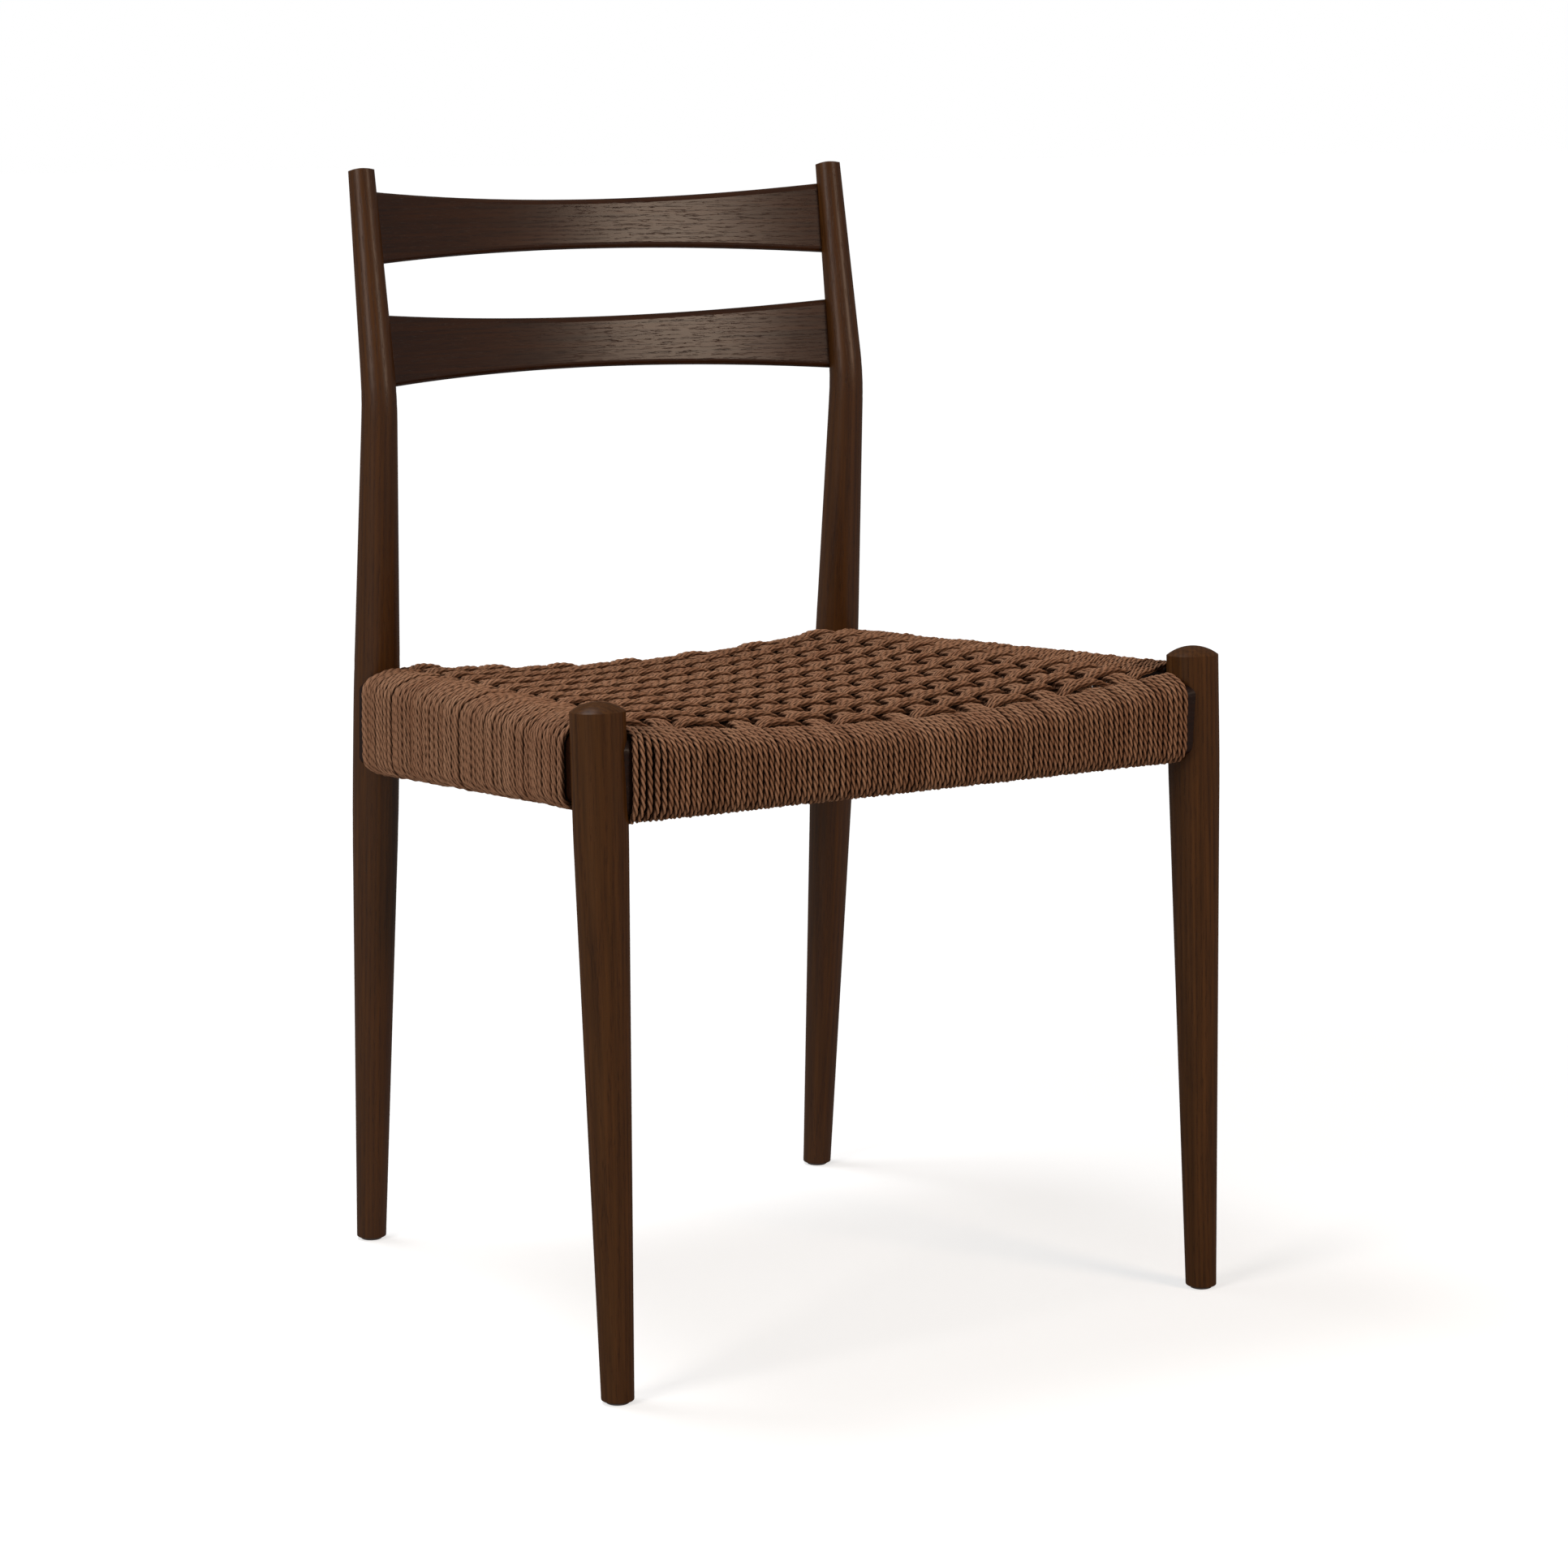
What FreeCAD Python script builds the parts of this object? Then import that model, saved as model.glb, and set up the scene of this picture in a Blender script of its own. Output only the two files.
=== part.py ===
import FreeCAD, Part
import os
from math import hypot, sinh, sqrt

# Side chair with a ladder back of two bowed slats and a seat woven from twisted cord.
# Millimetres. +Z is up, the front of the chair faces -Y, and the origin is on the floor
# under the middle of the chair's outline. "Reach" is a distance ahead of or behind it.

# Front legs: turned, tapered below the seat, with a low domed top
front_foot_half_spacing = 246.3
front_foot_reach = 225.4
front_leg_top_half_spacing = 245.5
front_leg_top_reach = 204.0
front_leg_height = 462.6
front_leg_dome = 6.5
front_leg_radius = 18.5
front_leg_foot_radius = 11.1
front_leg_taper_drop = 74.6
front_leg_taper_blend = 24.0

# Rear posts: foot, swell under the seat, one tight bend, tapered top
rear_foot_half_spacing = 201.9
rear_foot_reach = 217.0
rear_bend_half_spacing = 203.3
rear_bend_reach = 178.4
rear_bend_drop = 164.0
rear_bend_run = 18.0
rear_top_half_spacing = 202.0
rear_top_reach = 204.2
rear_post_height = 803.0
rear_post_foot_radius = 11.0
rear_post_swell_radius = 17.1
rear_post_swell_below_rails = 90.0
rear_post_swell_above_rails = 5.0
rear_post_blend = 30.0
rear_post_top_radius = 9.5
rear_post_top_dome = 1.6
foot_edge = 1.0
bend_station_shares = (0.0, 0.25, 0.5, 0.75, 1.0)

# Foot glides
glide_radius = 8.0
glide_thickness = 2.0
glide_edge = 0.8
glide_pin_radius = 1.25
glide_pin_length = 14.0

# Seat rails, measured on the wood inside the cord. The rail level is a drop below the
# shoulder of the front legs, and each crest is a rise above that level.
rail_level_drop = 42.6
rail_thickness = 23.0
front_rail_outset = 15.1
side_rail_outset = 16.0
rear_rail_outset = 14.8
front_rail_rise = 31.0
front_rail_height = 59.7
front_rail_dish = 17.5
rear_rail_rise = 19.0
rear_rail_height = 72.0
rear_rail_dish = 13.0
side_rail_front_rise = 33.5
side_rail_front_height = 52.5
side_rail_rear_rise = 18.5
side_rail_rear_height = 71.5
rail_top_fall = 7.5
rail_outer_top_round = 9.5
rail_outer_bottom_round = 8.0
rail_inner_top_round = 4.0
rail_inner_bottom_round = 5.0
rail_stations = 9
straight_rail_stations = 3

# Joints
joint_gap = 0.1
dowel_radius = 4.0
dowel_length = 36.0
dowel_in_leg = 14.0
dowel_height_shares = (0.26, 0.76)

# Back slats: bowed to the rear, waisted in the middle, tenoned into the posts
slat_thickness = 9.0
slat_end_height = 54.6
slat_edge_round = 4.2
slat_bow = 28.0
upper_slat_drop = 42.4
slat_spacing = 88.7
upper_slat_top_dip = 10.4
upper_slat_bottom_rise = 6.9
lower_slat_top_dip = 9.2
lower_slat_bottom_rise = 7.4
slat_tenon_cheek = 1.5
slat_tenon_shoulder = 7.5
slat_tenon_depth = 8.0
slat_tenon_root = 4.0
slat_tenon_edge_round = 0.8
slat_stations = 9

# Cord work
cord_diameter = 4.2
cord_clearance = 0.3
bare_rail_strip = 0.6
seat_tension = 2.84
seat_stations = 9
seat_edge_power = 8
warp_groups = 13
warp_front_half_spread = 191.0
warp_rear_half_spread = 171.0
weft_rows = 24
nails_per_group = 2
nail_radius = 0.9
nail_depth = 6.0
nail_stand = 1.6
nail_hook = 5.5
nail_drop = 20.0
nail_pair_spacing = 8.0

sides = (("left", -1), ("right", 1))

# Heights above the floor that follow from the sizes
front_leg_taper_height = front_leg_height - front_leg_taper_drop
rail_level = front_leg_height - rail_level_drop
rear_post_swell_start = rail_level - rear_post_swell_below_rails
rear_post_swell_end = rail_level + rear_post_swell_above_rails
rear_bend_height = rear_post_height - rear_bend_drop
front_rail_crest = rail_level + front_rail_rise
rear_rail_crest = rail_level + rear_rail_rise
side_rail_crests = (rail_level + side_rail_front_rise, rail_level + side_rail_rear_rise)
front_rail_bottom = front_rail_crest - front_rail_height
rear_rail_bottom = rear_rail_crest - rear_rail_height
side_rail_front_bottom = side_rail_crests[0] - side_rail_front_height
side_rail_rear_bottom = side_rail_crests[1] - side_rail_rear_height
upper_slat_height = rear_post_height - upper_slat_drop
lower_slat_height = upper_slat_height - slat_spacing


def vec(x, y, z):
    return FreeCAD.Vector(x, y, z)


def mix(start, end, share):
    return start + (end - start) * share


# Run of the rear posts' axes sideways and rearward for each unit of height, below and above
# the bend
low_slope = vec((rear_bend_half_spacing - rear_foot_half_spacing) / rear_bend_height,
                (rear_bend_reach - rear_foot_reach) / rear_bend_height, 1)
high_slope = vec((rear_top_half_spacing - rear_bend_half_spacing) / rear_bend_drop,
                 (rear_top_reach - rear_bend_reach) / rear_bend_drop, 1)


def save(shape, name):
    if shape.ShapeType == "Compound" and len(shape.Solids) == 1:
        shape = shape.Solids[0]
    print(name, "solids", len(shape.Solids), "valid", shape.isValid(), "volume", round(shape.Volume, 1))
    shape.exportStep("parts/" + name + ".step")


def circle_wire(centre, axis, radius):
    return Part.Wire([Part.makeCircle(radius, centre, axis)])


def loft(wires):
    return Part.makeLoft(wires, True, False)


# Leg axes

def front_leg_axis(side, height):
    share = height / front_leg_height
    return vec(side * mix(front_foot_half_spacing, front_leg_top_half_spacing, share),
               -mix(front_foot_reach, front_leg_top_reach, share), height)


def into_bend(height):
    return min(max(height - rear_bend_height + rear_bend_run, 0), 2 * rear_bend_run)


def rear_post_axis(side, height):
    """Two straight runs joined by a bend: a parabola over the run each side of the bend."""
    above = height - rear_bend_height
    turned = into_bend(height) ** 2 / (4 * rear_bend_run) + max(above - rear_bend_run, 0)
    x = rear_bend_half_spacing + low_slope.x * above + (high_slope.x - low_slope.x) * turned
    y = rear_bend_reach + low_slope.y * above + (high_slope.y - low_slope.y) * turned
    return vec(side * x, y, height)


def rear_post_direction(side, height):
    share = into_bend(height) / (2 * rear_bend_run)
    return vec(side * mix(low_slope.x, high_slope.x, share), mix(low_slope.y, high_slope.y, share), 1)


def rear_post_radius(height):
    if height < rear_post_swell_start:
        return mix(rear_post_foot_radius, rear_post_swell_radius, height / rear_post_swell_start)
    if height < rear_post_swell_end:
        return rear_post_swell_radius
    share = (height - rear_post_swell_end) / (rear_post_height - rear_post_swell_end)
    return mix(rear_post_swell_radius, rear_post_top_radius, share)


# Front legs

def front_leg_profile(grow):
    """Half outline of the leg about its own axis, from under the floor to the dome."""
    below = front_leg_foot_radius
    slope = (front_leg_radius - front_leg_foot_radius) / front_leg_taper_height
    low = vec(front_leg_foot_radius + grow - slope * below, 0, -below)
    start = front_leg_taper_height - front_leg_taper_blend
    full = front_leg_radius + grow
    blend_start = vec(full - slope * front_leg_taper_blend, 0, start)
    blend_mid = vec(full - slope * front_leg_taper_blend / 4, 0, front_leg_taper_height)
    blend_end = vec(full, 0, front_leg_taper_height + front_leg_taper_blend)
    shoulder = vec(full, 0, front_leg_height)
    sphere = (front_leg_radius ** 2 + front_leg_dome ** 2) / (2 * front_leg_dome)
    half = front_leg_radius / 2
    dome_mid_drop = sphere - sqrt(sphere ** 2 - half ** 2)
    crown = vec(0, 0, front_leg_height + front_leg_dome + grow)
    dome_mid = vec(half, 0, front_leg_height + front_leg_dome + grow - dome_mid_drop)
    return Part.Wire([
        Part.makeLine(vec(0, 0, -below), low),
        Part.makeLine(low, blend_start),
        Part.Arc(blend_start, blend_mid, blend_end).toShape(),
        Part.makeLine(blend_end, shoulder),
        Part.Arc(shoulder, dome_mid, crown).toShape(),
        Part.makeLine(crown, vec(0, 0, -below)),
    ])


def front_leg_blank(side, grow=0):
    blank = Part.Face(front_leg_profile(grow)).revolve(vec(0, 0, 0), vec(0, 0, 1), 360)
    foot = front_leg_axis(side, 0)
    lean = front_leg_axis(side, front_leg_height) - foot
    blank.Placement = FreeCAD.Placement(foot, FreeCAD.Rotation(vec(0, 0, 1), lean))
    return blank


# Rear posts

def lower_post_profile(grow, length, end_radius):
    """Half outline of the post about its own axis, from under the floor to the bend's start.
    Short arcs blend the foot's taper, the swell and the neck's taper."""
    below = rear_post_foot_radius
    neck = rear_post_height - rear_post_swell_end
    foot_slope = (rear_post_swell_radius - rear_post_foot_radius) / rear_post_swell_start
    neck_slope = (rear_post_top_radius - rear_post_swell_radius) / neck
    full = rear_post_swell_radius + grow
    blend = rear_post_blend
    low = vec(rear_post_foot_radius + grow - foot_slope * below, 0, -below)
    points = [vec(0, 0, -below), low]
    turns = ((rear_post_swell_start, foot_slope, 0), (rear_post_swell_end, 0, neck_slope))
    for height, before, after in turns:
        points.append(vec(full - before * blend, 0, height - blend))
        points.append(vec(full - (before - after) * blend / 4, 0, height))
        points.append(vec(full + after * blend, 0, height + blend))
    high = vec(end_radius + grow, 0, length)
    return Part.Wire([
        Part.makeLine(points[0], points[1]),
        Part.makeLine(points[1], points[2]),
        Part.Arc(points[2], points[3], points[4]).toShape(),
        Part.makeLine(points[4], points[5]),
        Part.Arc(points[5], points[6], points[7]).toShape(),
        Part.makeLine(points[7], high),
        Part.makeLine(high, vec(0, 0, length)),
        Part.makeLine(vec(0, 0, length), points[0]),
    ])


def rear_post_blank(side, grow=0):
    """A turned lower part and a cone on top, with a short loft through circles for the bend."""
    bend_start = rear_bend_height - rear_bend_run
    bend_end = rear_bend_height + rear_bend_run
    foot = rear_post_axis(side, 0)
    reach = rear_post_axis(side, bend_start) - foot
    outline = lower_post_profile(grow, reach.Length, rear_post_radius(bend_start))
    lower = Part.Face(outline).revolve(vec(0, 0, 0), vec(0, 0, 1), 360)
    lower.Placement = FreeCAD.Placement(foot, FreeCAD.Rotation(vec(0, 0, 1), reach))
    wires = []
    for share in bend_station_shares:
        height = mix(bend_start, bend_end, share)
        axis = rear_post_direction(side, height)
        wires.append(circle_wire(rear_post_axis(side, height), axis, rear_post_radius(height) + grow))
    base = rear_post_axis(side, bend_end)
    rest = rear_post_axis(side, rear_post_height) - base
    upper = Part.makeCone(rear_post_radius(bend_end) + grow, rear_post_top_radius + grow,
                          rest.Length, base, rest)
    return lower.fuse([loft(wires), upper]).removeSplitter()


def rear_post_waste(side):
    """What is turned off above the post's low dome: a plug whose underside is hollowed to a ball."""
    radius = rear_post_top_radius
    sphere = (radius ** 2 + rear_post_top_dome ** 2) / (2 * rear_post_top_dome)
    reach = 2 * radius
    rim_drop = sphere - sqrt(sphere ** 2 - reach ** 2)
    mid_drop = sphere - sqrt(sphere ** 2 - radius ** 2)
    outline = Part.Wire([
        Part.Arc(vec(0, 0, 0), vec(radius, 0, -mid_drop), vec(reach, 0, -rim_drop)).toShape(),
        Part.makeLine(vec(reach, 0, -rim_drop), vec(reach, 0, reach)),
        Part.makeLine(vec(reach, 0, reach), vec(0, 0, reach)),
        Part.makeLine(vec(0, 0, reach), vec(0, 0, 0)),
    ])
    plug = Part.Face(outline).revolve(vec(0, 0, 0), vec(0, 0, 1), 360)
    top = rear_post_axis(side, rear_post_height)
    run = top - rear_post_axis(side, rear_post_height - radius)
    plug.Placement = FreeCAD.Placement(top, FreeCAD.Rotation(vec(0, 0, 1), run))
    return plug


def floor_cut(reach, height):
    """Block under the given height, wide enough for any one foot."""
    return Part.makeBox(2 * reach, 2 * reach, reach, vec(-reach, -reach, height - reach))


def circle_edges_at(shape, height, tolerance):
    found = []
    for edge in shape.Edges:
        box = edge.BoundBox
        if abs(box.ZMin - height) < tolerance and abs(box.ZMax - height) < tolerance:
            found.append(edge)
    return found


def trim_foot(blank, foot_x, foot_y, height):
    """Cuts the foot level at the glide and rounds its edge."""
    block = floor_cut(front_leg_radius * 2, height)
    block.translate(vec(foot_x, foot_y, 0))
    cut = blank.cut(block)
    return cut.makeFillet(foot_edge, circle_edges_at(cut, height, foot_edge / 10))


# Glides

def glide(foot):
    disc = Part.makeCylinder(glide_radius, glide_thickness, vec(foot.x, foot.y, 0))
    rim = circle_edges_at(disc, 0, glide_edge / 10)
    disc = disc.makeFillet(glide_edge, rim)
    pin = Part.makeCylinder(glide_pin_radius, glide_thickness + glide_pin_length, vec(foot.x, foot.y, 0))
    return disc.fuse(pin).removeSplitter()


def glide_hole(foot):
    length = glide_thickness + glide_pin_length + joint_gap
    return Part.makeCylinder(glide_pin_radius + joint_gap, length, vec(foot.x, foot.y, 0))


# Rails: a section of four rounded corners carried along a straight line

class Rail:
    """A seat rail. Along runs from the first leg axis to the second, out points off the seat."""

    def __init__(self, start, end, outset, bottoms, crests, dish, start_radius, end_radius):
        self.start = vec(start.x, start.y, 0)
        self.length = hypot(end.x - start.x, end.y - start.y)
        self.along = vec((end.x - start.x) / self.length, (end.y - start.y) / self.length, 0)
        self.out = vec(self.along.y, -self.along.x, 0)
        if self.out * self.start < 0:
            self.out = self.out * -1
        self.outset = outset
        self.inset = rail_thickness - outset
        self.bottoms = bottoms
        self.crests = crests
        self.dish = dish
        self.radii = (start_radius, end_radius)

    def bottom(self, along):
        return mix(self.bottoms[0], self.bottoms[1], along / self.length)

    def crest(self, along):
        share = along / self.length
        return mix(self.crests[0], self.crests[1], share) - self.dish * (1 - (2 * share - 1) ** 2)

    def point(self, along, out, height):
        place = self.start + self.along * along + self.out * out
        return vec(place.x, place.y, height)

    def corners(self, along, grow):
        """Corner points and rounds of the section, grown outwards by the cord's thickness."""
        slope = -rail_top_fall / rail_thickness
        lift = grow * sqrt(1 + slope ** 2)
        outer = self.outset + grow
        inner = -self.inset - grow
        crest = self.crest(along)
        inner_top = crest + slope * (inner + self.inset) + lift
        outer_top = crest + slope * (outer + self.inset) + lift
        low = self.bottom(along) - grow
        places = [(outer, low), (outer, outer_top), (inner, inner_top), (inner, low)]
        rounds = [rail_outer_bottom_round + grow, rail_outer_top_round + grow,
                  rail_inner_top_round + grow, rail_inner_bottom_round + grow]
        return places, rounds

    def wire(self, along, grow):
        places, rounds = self.corners(along, grow)
        points = []
        for index, place in enumerate(places):
            following = places[(index + 1) % 4]
            points.append(rounded_corner(places[index - 1], place, following, rounds[index]))
        edges = []
        for index, (first, middle, last) in enumerate(points):
            arc = [self.point(along, *spot) for spot in (first, middle, last)]
            edges.append(Part.Arc(*arc).toShape())
            following = points[(index + 1) % 4][0]
            edges.append(Part.makeLine(arc[2], self.point(along, *following)))
        return Part.Wire(edges)

    def body(self, first, last, grow):
        stations = rail_stations if self.dish else straight_rail_stations
        shares = [index / (stations - 1) for index in range(stations)]
        return loft([self.wire(mix(first, last, share), grow) for share in shares])


def rounded_corner(before, corner, after, radius):
    """Start, middle and end of the arc that rounds a corner of a flat outline."""
    first = ((before[0] - corner[0]), (before[1] - corner[1]))
    second = ((after[0] - corner[0]), (after[1] - corner[1]))
    first_length = hypot(*first)
    second_length = hypot(*second)
    first = (first[0] / first_length, first[1] / first_length)
    second = (second[0] / second_length, second[1] / second_length)
    cosine = first[0] * second[0] + first[1] * second[1]
    half_sine = sqrt((1 - cosine) / 2)
    half_cosine = sqrt((1 + cosine) / 2)
    tangent = radius * half_cosine / half_sine
    centre_far = radius / half_sine
    bisector = (first[0] + second[0], first[1] + second[1])
    size = hypot(*bisector)
    middle_far = (centre_far - radius) / size
    start = (corner[0] + first[0] * tangent, corner[1] + first[1] * tangent)
    middle = (corner[0] + bisector[0] * middle_far, corner[1] + bisector[1] * middle_far)
    end = (corner[0] + second[0] * tangent, corner[1] + second[1] * tangent)
    return start, middle, end


front_left = front_leg_axis(-1, rail_level)
front_right = front_leg_axis(1, rail_level)
rear_left = rear_post_axis(-1, rail_level)
rear_right = rear_post_axis(1, rail_level)
rear_radius = rear_post_radius(rail_level)

front_rail = Rail(front_left, front_right, front_rail_outset,
                  (front_rail_bottom, front_rail_bottom), (front_rail_crest, front_rail_crest),
                  front_rail_dish, front_leg_radius, front_leg_radius)
rear_rail = Rail(rear_left, rear_right, rear_rail_outset,
                 (rear_rail_bottom, rear_rail_bottom), (rear_rail_crest, rear_rail_crest),
                 rear_rail_dish, rear_radius, rear_radius)
side_rails = {}
for side_name, side_sign in sides:
    side_rails[side_name] = Rail(
        front_leg_axis(side_sign, rail_level), rear_post_axis(side_sign, rail_level),
        side_rail_outset, (side_rail_front_bottom, side_rail_rear_bottom), side_rail_crests, 0,
        front_leg_radius, rear_radius)

cord_layer = cord_diameter + cord_clearance


def dowels(rail, gap):
    """Two round dowels in each end of a rail, on the rail's middle line."""
    middle = (rail.outset - rail.inset) / 2
    solids = []
    for end in (0, 1):
        radius = rail.radii[end]
        reach = radius - dowel_in_leg - gap
        along = reach if end == 0 else rail.length - reach
        direction = rail.along if end == 0 else rail.along * -1
        surface = radius if end == 0 else rail.length - radius
        low = rail.bottom(surface)
        high = rail.crest(surface) - rail_top_fall
        for share in dowel_height_shares:
            spot = rail.point(along, middle, mix(low, high, share))
            solids.append(Part.makeCylinder(dowel_radius + gap, dowel_length + 2 * gap, spot, direction))
    return solids


# Cord nails: an L of wire driven into a rail's inner face, its short leg turned up

def nail_spots(rail, places):
    return [(along, rail.crest(along) - nail_drop) for along in places]


def nail(rail, along, height):
    out_start = -rail.inset + nail_depth
    out_end = -rail.inset - cord_layer - nail_stand
    start = rail.point(along, out_start, height)
    shank = Part.makeCylinder(nail_radius, out_start - out_end, start, rail.out * -1)
    elbow_spot = rail.point(along, out_end, height)
    elbow = Part.makeSphere(nail_radius, elbow_spot)
    hook = Part.makeCylinder(nail_radius, nail_hook, elbow_spot, vec(0, 0, 1))
    return shank.fuse([elbow, hook]).removeSplitter()


def nail_hole(rail, along, height, gap):
    out_start = -rail.inset + nail_depth + gap
    start = rail.point(along, out_start, height)
    length = nail_depth + gap + cord_layer + nail_stand
    return Part.makeCylinder(nail_radius + gap, length, start, rail.out * -1)


def warp_places(rail, half_spread):
    middle = rail.length / 2
    pitch = 2 * half_spread / (warp_groups - 1)
    places = []
    for group in range(warp_groups):
        centre = middle - half_spread + group * pitch
        for index in range(nails_per_group):
            places.append(centre + (index - (nails_per_group - 1) / 2) * nail_pair_spacing)
    return places


def wrapped_length(rail):
    """First and last place of the cord along a rail, short of the leg at each end."""
    return rail.radii[0] + bare_rail_strip, rail.length - rail.radii[1] - bare_rail_strip


def weft_places(rail):
    first, last = wrapped_length(rail)
    count = weft_rows * nails_per_group
    pitch = (last - first) / count
    return [first + (index + 0.5) * pitch for index in range(count)]


# Seat panel: a saddle between the rail crests

def seat_edges():
    """Front and rear ends of the woven panel, at the cord on the rails' inner faces."""
    front = front_left.y + front_rail.inset + cord_layer + cord_clearance
    rear = rear_left.y - rear_rail.inset - cord_layer - cord_clearance
    return front, rear


def seat_section(share, top_drop, thickness):
    """One cross-section of the panel: an arc across the top and the same arc under it."""
    front, rear = seat_edges()
    y = mix(front, rear, share)
    rail = side_rails["right"]
    along = (y - rail.start.y) / rail.along.y
    inner = rail.point(along, -rail.inset - cord_layer - cord_clearance, 0)
    half_width = inner.x
    edge_height = rail.crest(along) + cord_layer
    front_fall = front_rail_dish * sinh(seat_tension * (1 - share)) / sinh(seat_tension)
    rear_fall = rear_rail_dish * sinh(seat_tension * share) / sinh(seat_tension)
    front_step = (side_rail_crests[0] - front_rail_crest) * (1 - share) ** seat_edge_power
    rear_step = (side_rail_crests[1] - rear_rail_crest) * share ** seat_edge_power
    middle_height = edge_height - front_fall - rear_fall - front_step - rear_step
    top = [vec(-half_width, y, edge_height - top_drop), vec(0, y, middle_height - top_drop),
           vec(half_width, y, edge_height - top_drop)]
    low = [vec(spot.x, spot.y, spot.z - thickness) for spot in top]
    return Part.Wire([Part.Arc(*top).toShape(), Part.makeLine(top[2], low[2]),
                      Part.Arc(low[2], low[1], low[0]).toShape(), Part.makeLine(low[0], top[0])])


def seat_layer(top_drop):
    shares = [index / (seat_stations - 1) for index in range(seat_stations)]
    return loft([seat_section(share, top_drop, cord_diameter) for share in shares])


# Slats

class Slat:
    """A back slat at a height on the posts, hollowed by a dip above and a rise below."""

    def __init__(self, height, top_dip, bottom_rise):
        self.height = height
        self.top_dip = top_dip
        self.bottom_rise = bottom_rise
        self.axis = rear_post_axis(1, height)
        self.radius = rear_post_radius(height)
        half = slat_end_height / 2
        run = rear_post_axis(1, height + half) - rear_post_axis(1, height - half)
        self.lean = vec(0, run.y, run.z)
        self.lean.normalize()
        self.across = vec(0, self.lean.z, -self.lean.y)

    def wire(self, share, cheek, shoulder, edge_round):
        """Section at a share of the half length from -1 to 1, less the tenon's cheek and shoulder."""
        hollow = 1 - share ** 2
        centre = vec(self.axis.x * share, self.axis.y + slat_bow * hollow, self.axis.z)
        centre = centre + self.across * (slat_thickness / 2)
        deep = slat_thickness / 2 - cheek
        top = slat_end_height / 2 - self.top_dip * hollow - shoulder
        bottom = self.bottom_rise * hollow + shoulder - slat_end_height / 2
        places = [(-deep, bottom), (-deep, top), (deep, top), (deep, bottom)]
        points = []
        for index, place in enumerate(places):
            following = places[(index + 1) % 4]
            points.append(rounded_corner(places[index - 1], place, following, edge_round))
        edges = []
        for index, spots in enumerate(points):
            arc = [centre + self.across * spot[0] + self.lean * spot[1] for spot in spots]
            following = points[(index + 1) % 4][0]
            corner = centre + self.across * following[0] + self.lean * following[1]
            edges.append(Part.Arc(*arc).toShape())
            edges.append(Part.makeLine(arc[2], corner))
        return Part.Wire(edges)

    def body(self):
        shares = [2 * index / (slat_stations - 1) - 1 for index in range(slat_stations)]
        return loft([self.wire(share, 0, 0, slat_edge_round) for share in shares])

    def tenon(self, side, gap):
        """The slat's own end, thinned, from a root inside the slat to its depth in the post."""
        root = 1 - (self.radius + slat_tenon_root) / self.axis.x
        tip = 1 - (self.radius - slat_tenon_depth - gap) / self.axis.x
        wires = []
        for share in (root, (root + tip) / 2, tip):
            wires.append(self.wire(side * share, slat_tenon_cheek - gap, slat_tenon_shoulder - gap,
                                   slat_tenon_edge_round))
        return loft(wires)


slats = {
    "upper_slat": Slat(upper_slat_height, upper_slat_top_dip, upper_slat_bottom_rise),
    "lower_slat": Slat(lower_slat_height, lower_slat_top_dip, lower_slat_bottom_rise),
}


# Assembly

def make_front_leg(name, side):
    foot = front_leg_axis(side, glide_thickness)
    leg = trim_foot(front_leg_blank(side), foot.x, foot.y, glide_thickness)
    tools = dowels(front_rail, joint_gap) + dowels(side_rails[name], joint_gap) + [glide_hole(foot)]
    save(leg.cut(tools), "front_leg_" + name)
    save(glide(foot), "foot_glide_front_" + name)


def make_rear_post(name, side):
    foot = rear_post_axis(side, glide_thickness)
    post = trim_foot(rear_post_blank(side), foot.x, foot.y, glide_thickness)
    tools = dowels(rear_rail, joint_gap) + dowels(side_rails[name], joint_gap)
    tools += [rear_post_waste(side), glide_hole(foot)]
    tools += [slat.tenon(side, joint_gap) for slat in slats.values()]
    save(post.cut(tools), "rear_post_" + name)
    save(glide(foot), "foot_glide_rear_" + name)


def make_rail(name, rail, legs, nail_places):
    blank = rail.body(0, rail.length, 0)
    tools = legs + dowels(rail, joint_gap)
    spots = nail_spots(rail, nail_places)
    tools += [nail_hole(rail, along, height, joint_gap) for along, height in spots]
    save(blank.cut(tools), name)
    save(Part.makeCompound(dowels(rail, 0)), name + "_dowels")
    nails = [nail(rail, along, height) for along, height in spots]
    save(Part.makeCompound(nails), name + "_cord_nails")


def make_wrap(name, rail, nail_places):
    """Cord wound close round a rail, as one sleeve with a way through for each nail."""
    first, last = wrapped_length(rail)
    overrun = cord_diameter
    sleeve = rail.body(first, last, cord_layer)
    bore = rail.body(first - overrun, last + overrun, cord_clearance)
    tools = [bore]
    for along, height in nail_spots(rail, nail_places):
        tools.append(nail_hole(rail, along, height, cord_clearance))
    save(sleeve.cut(tools), name)


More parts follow.
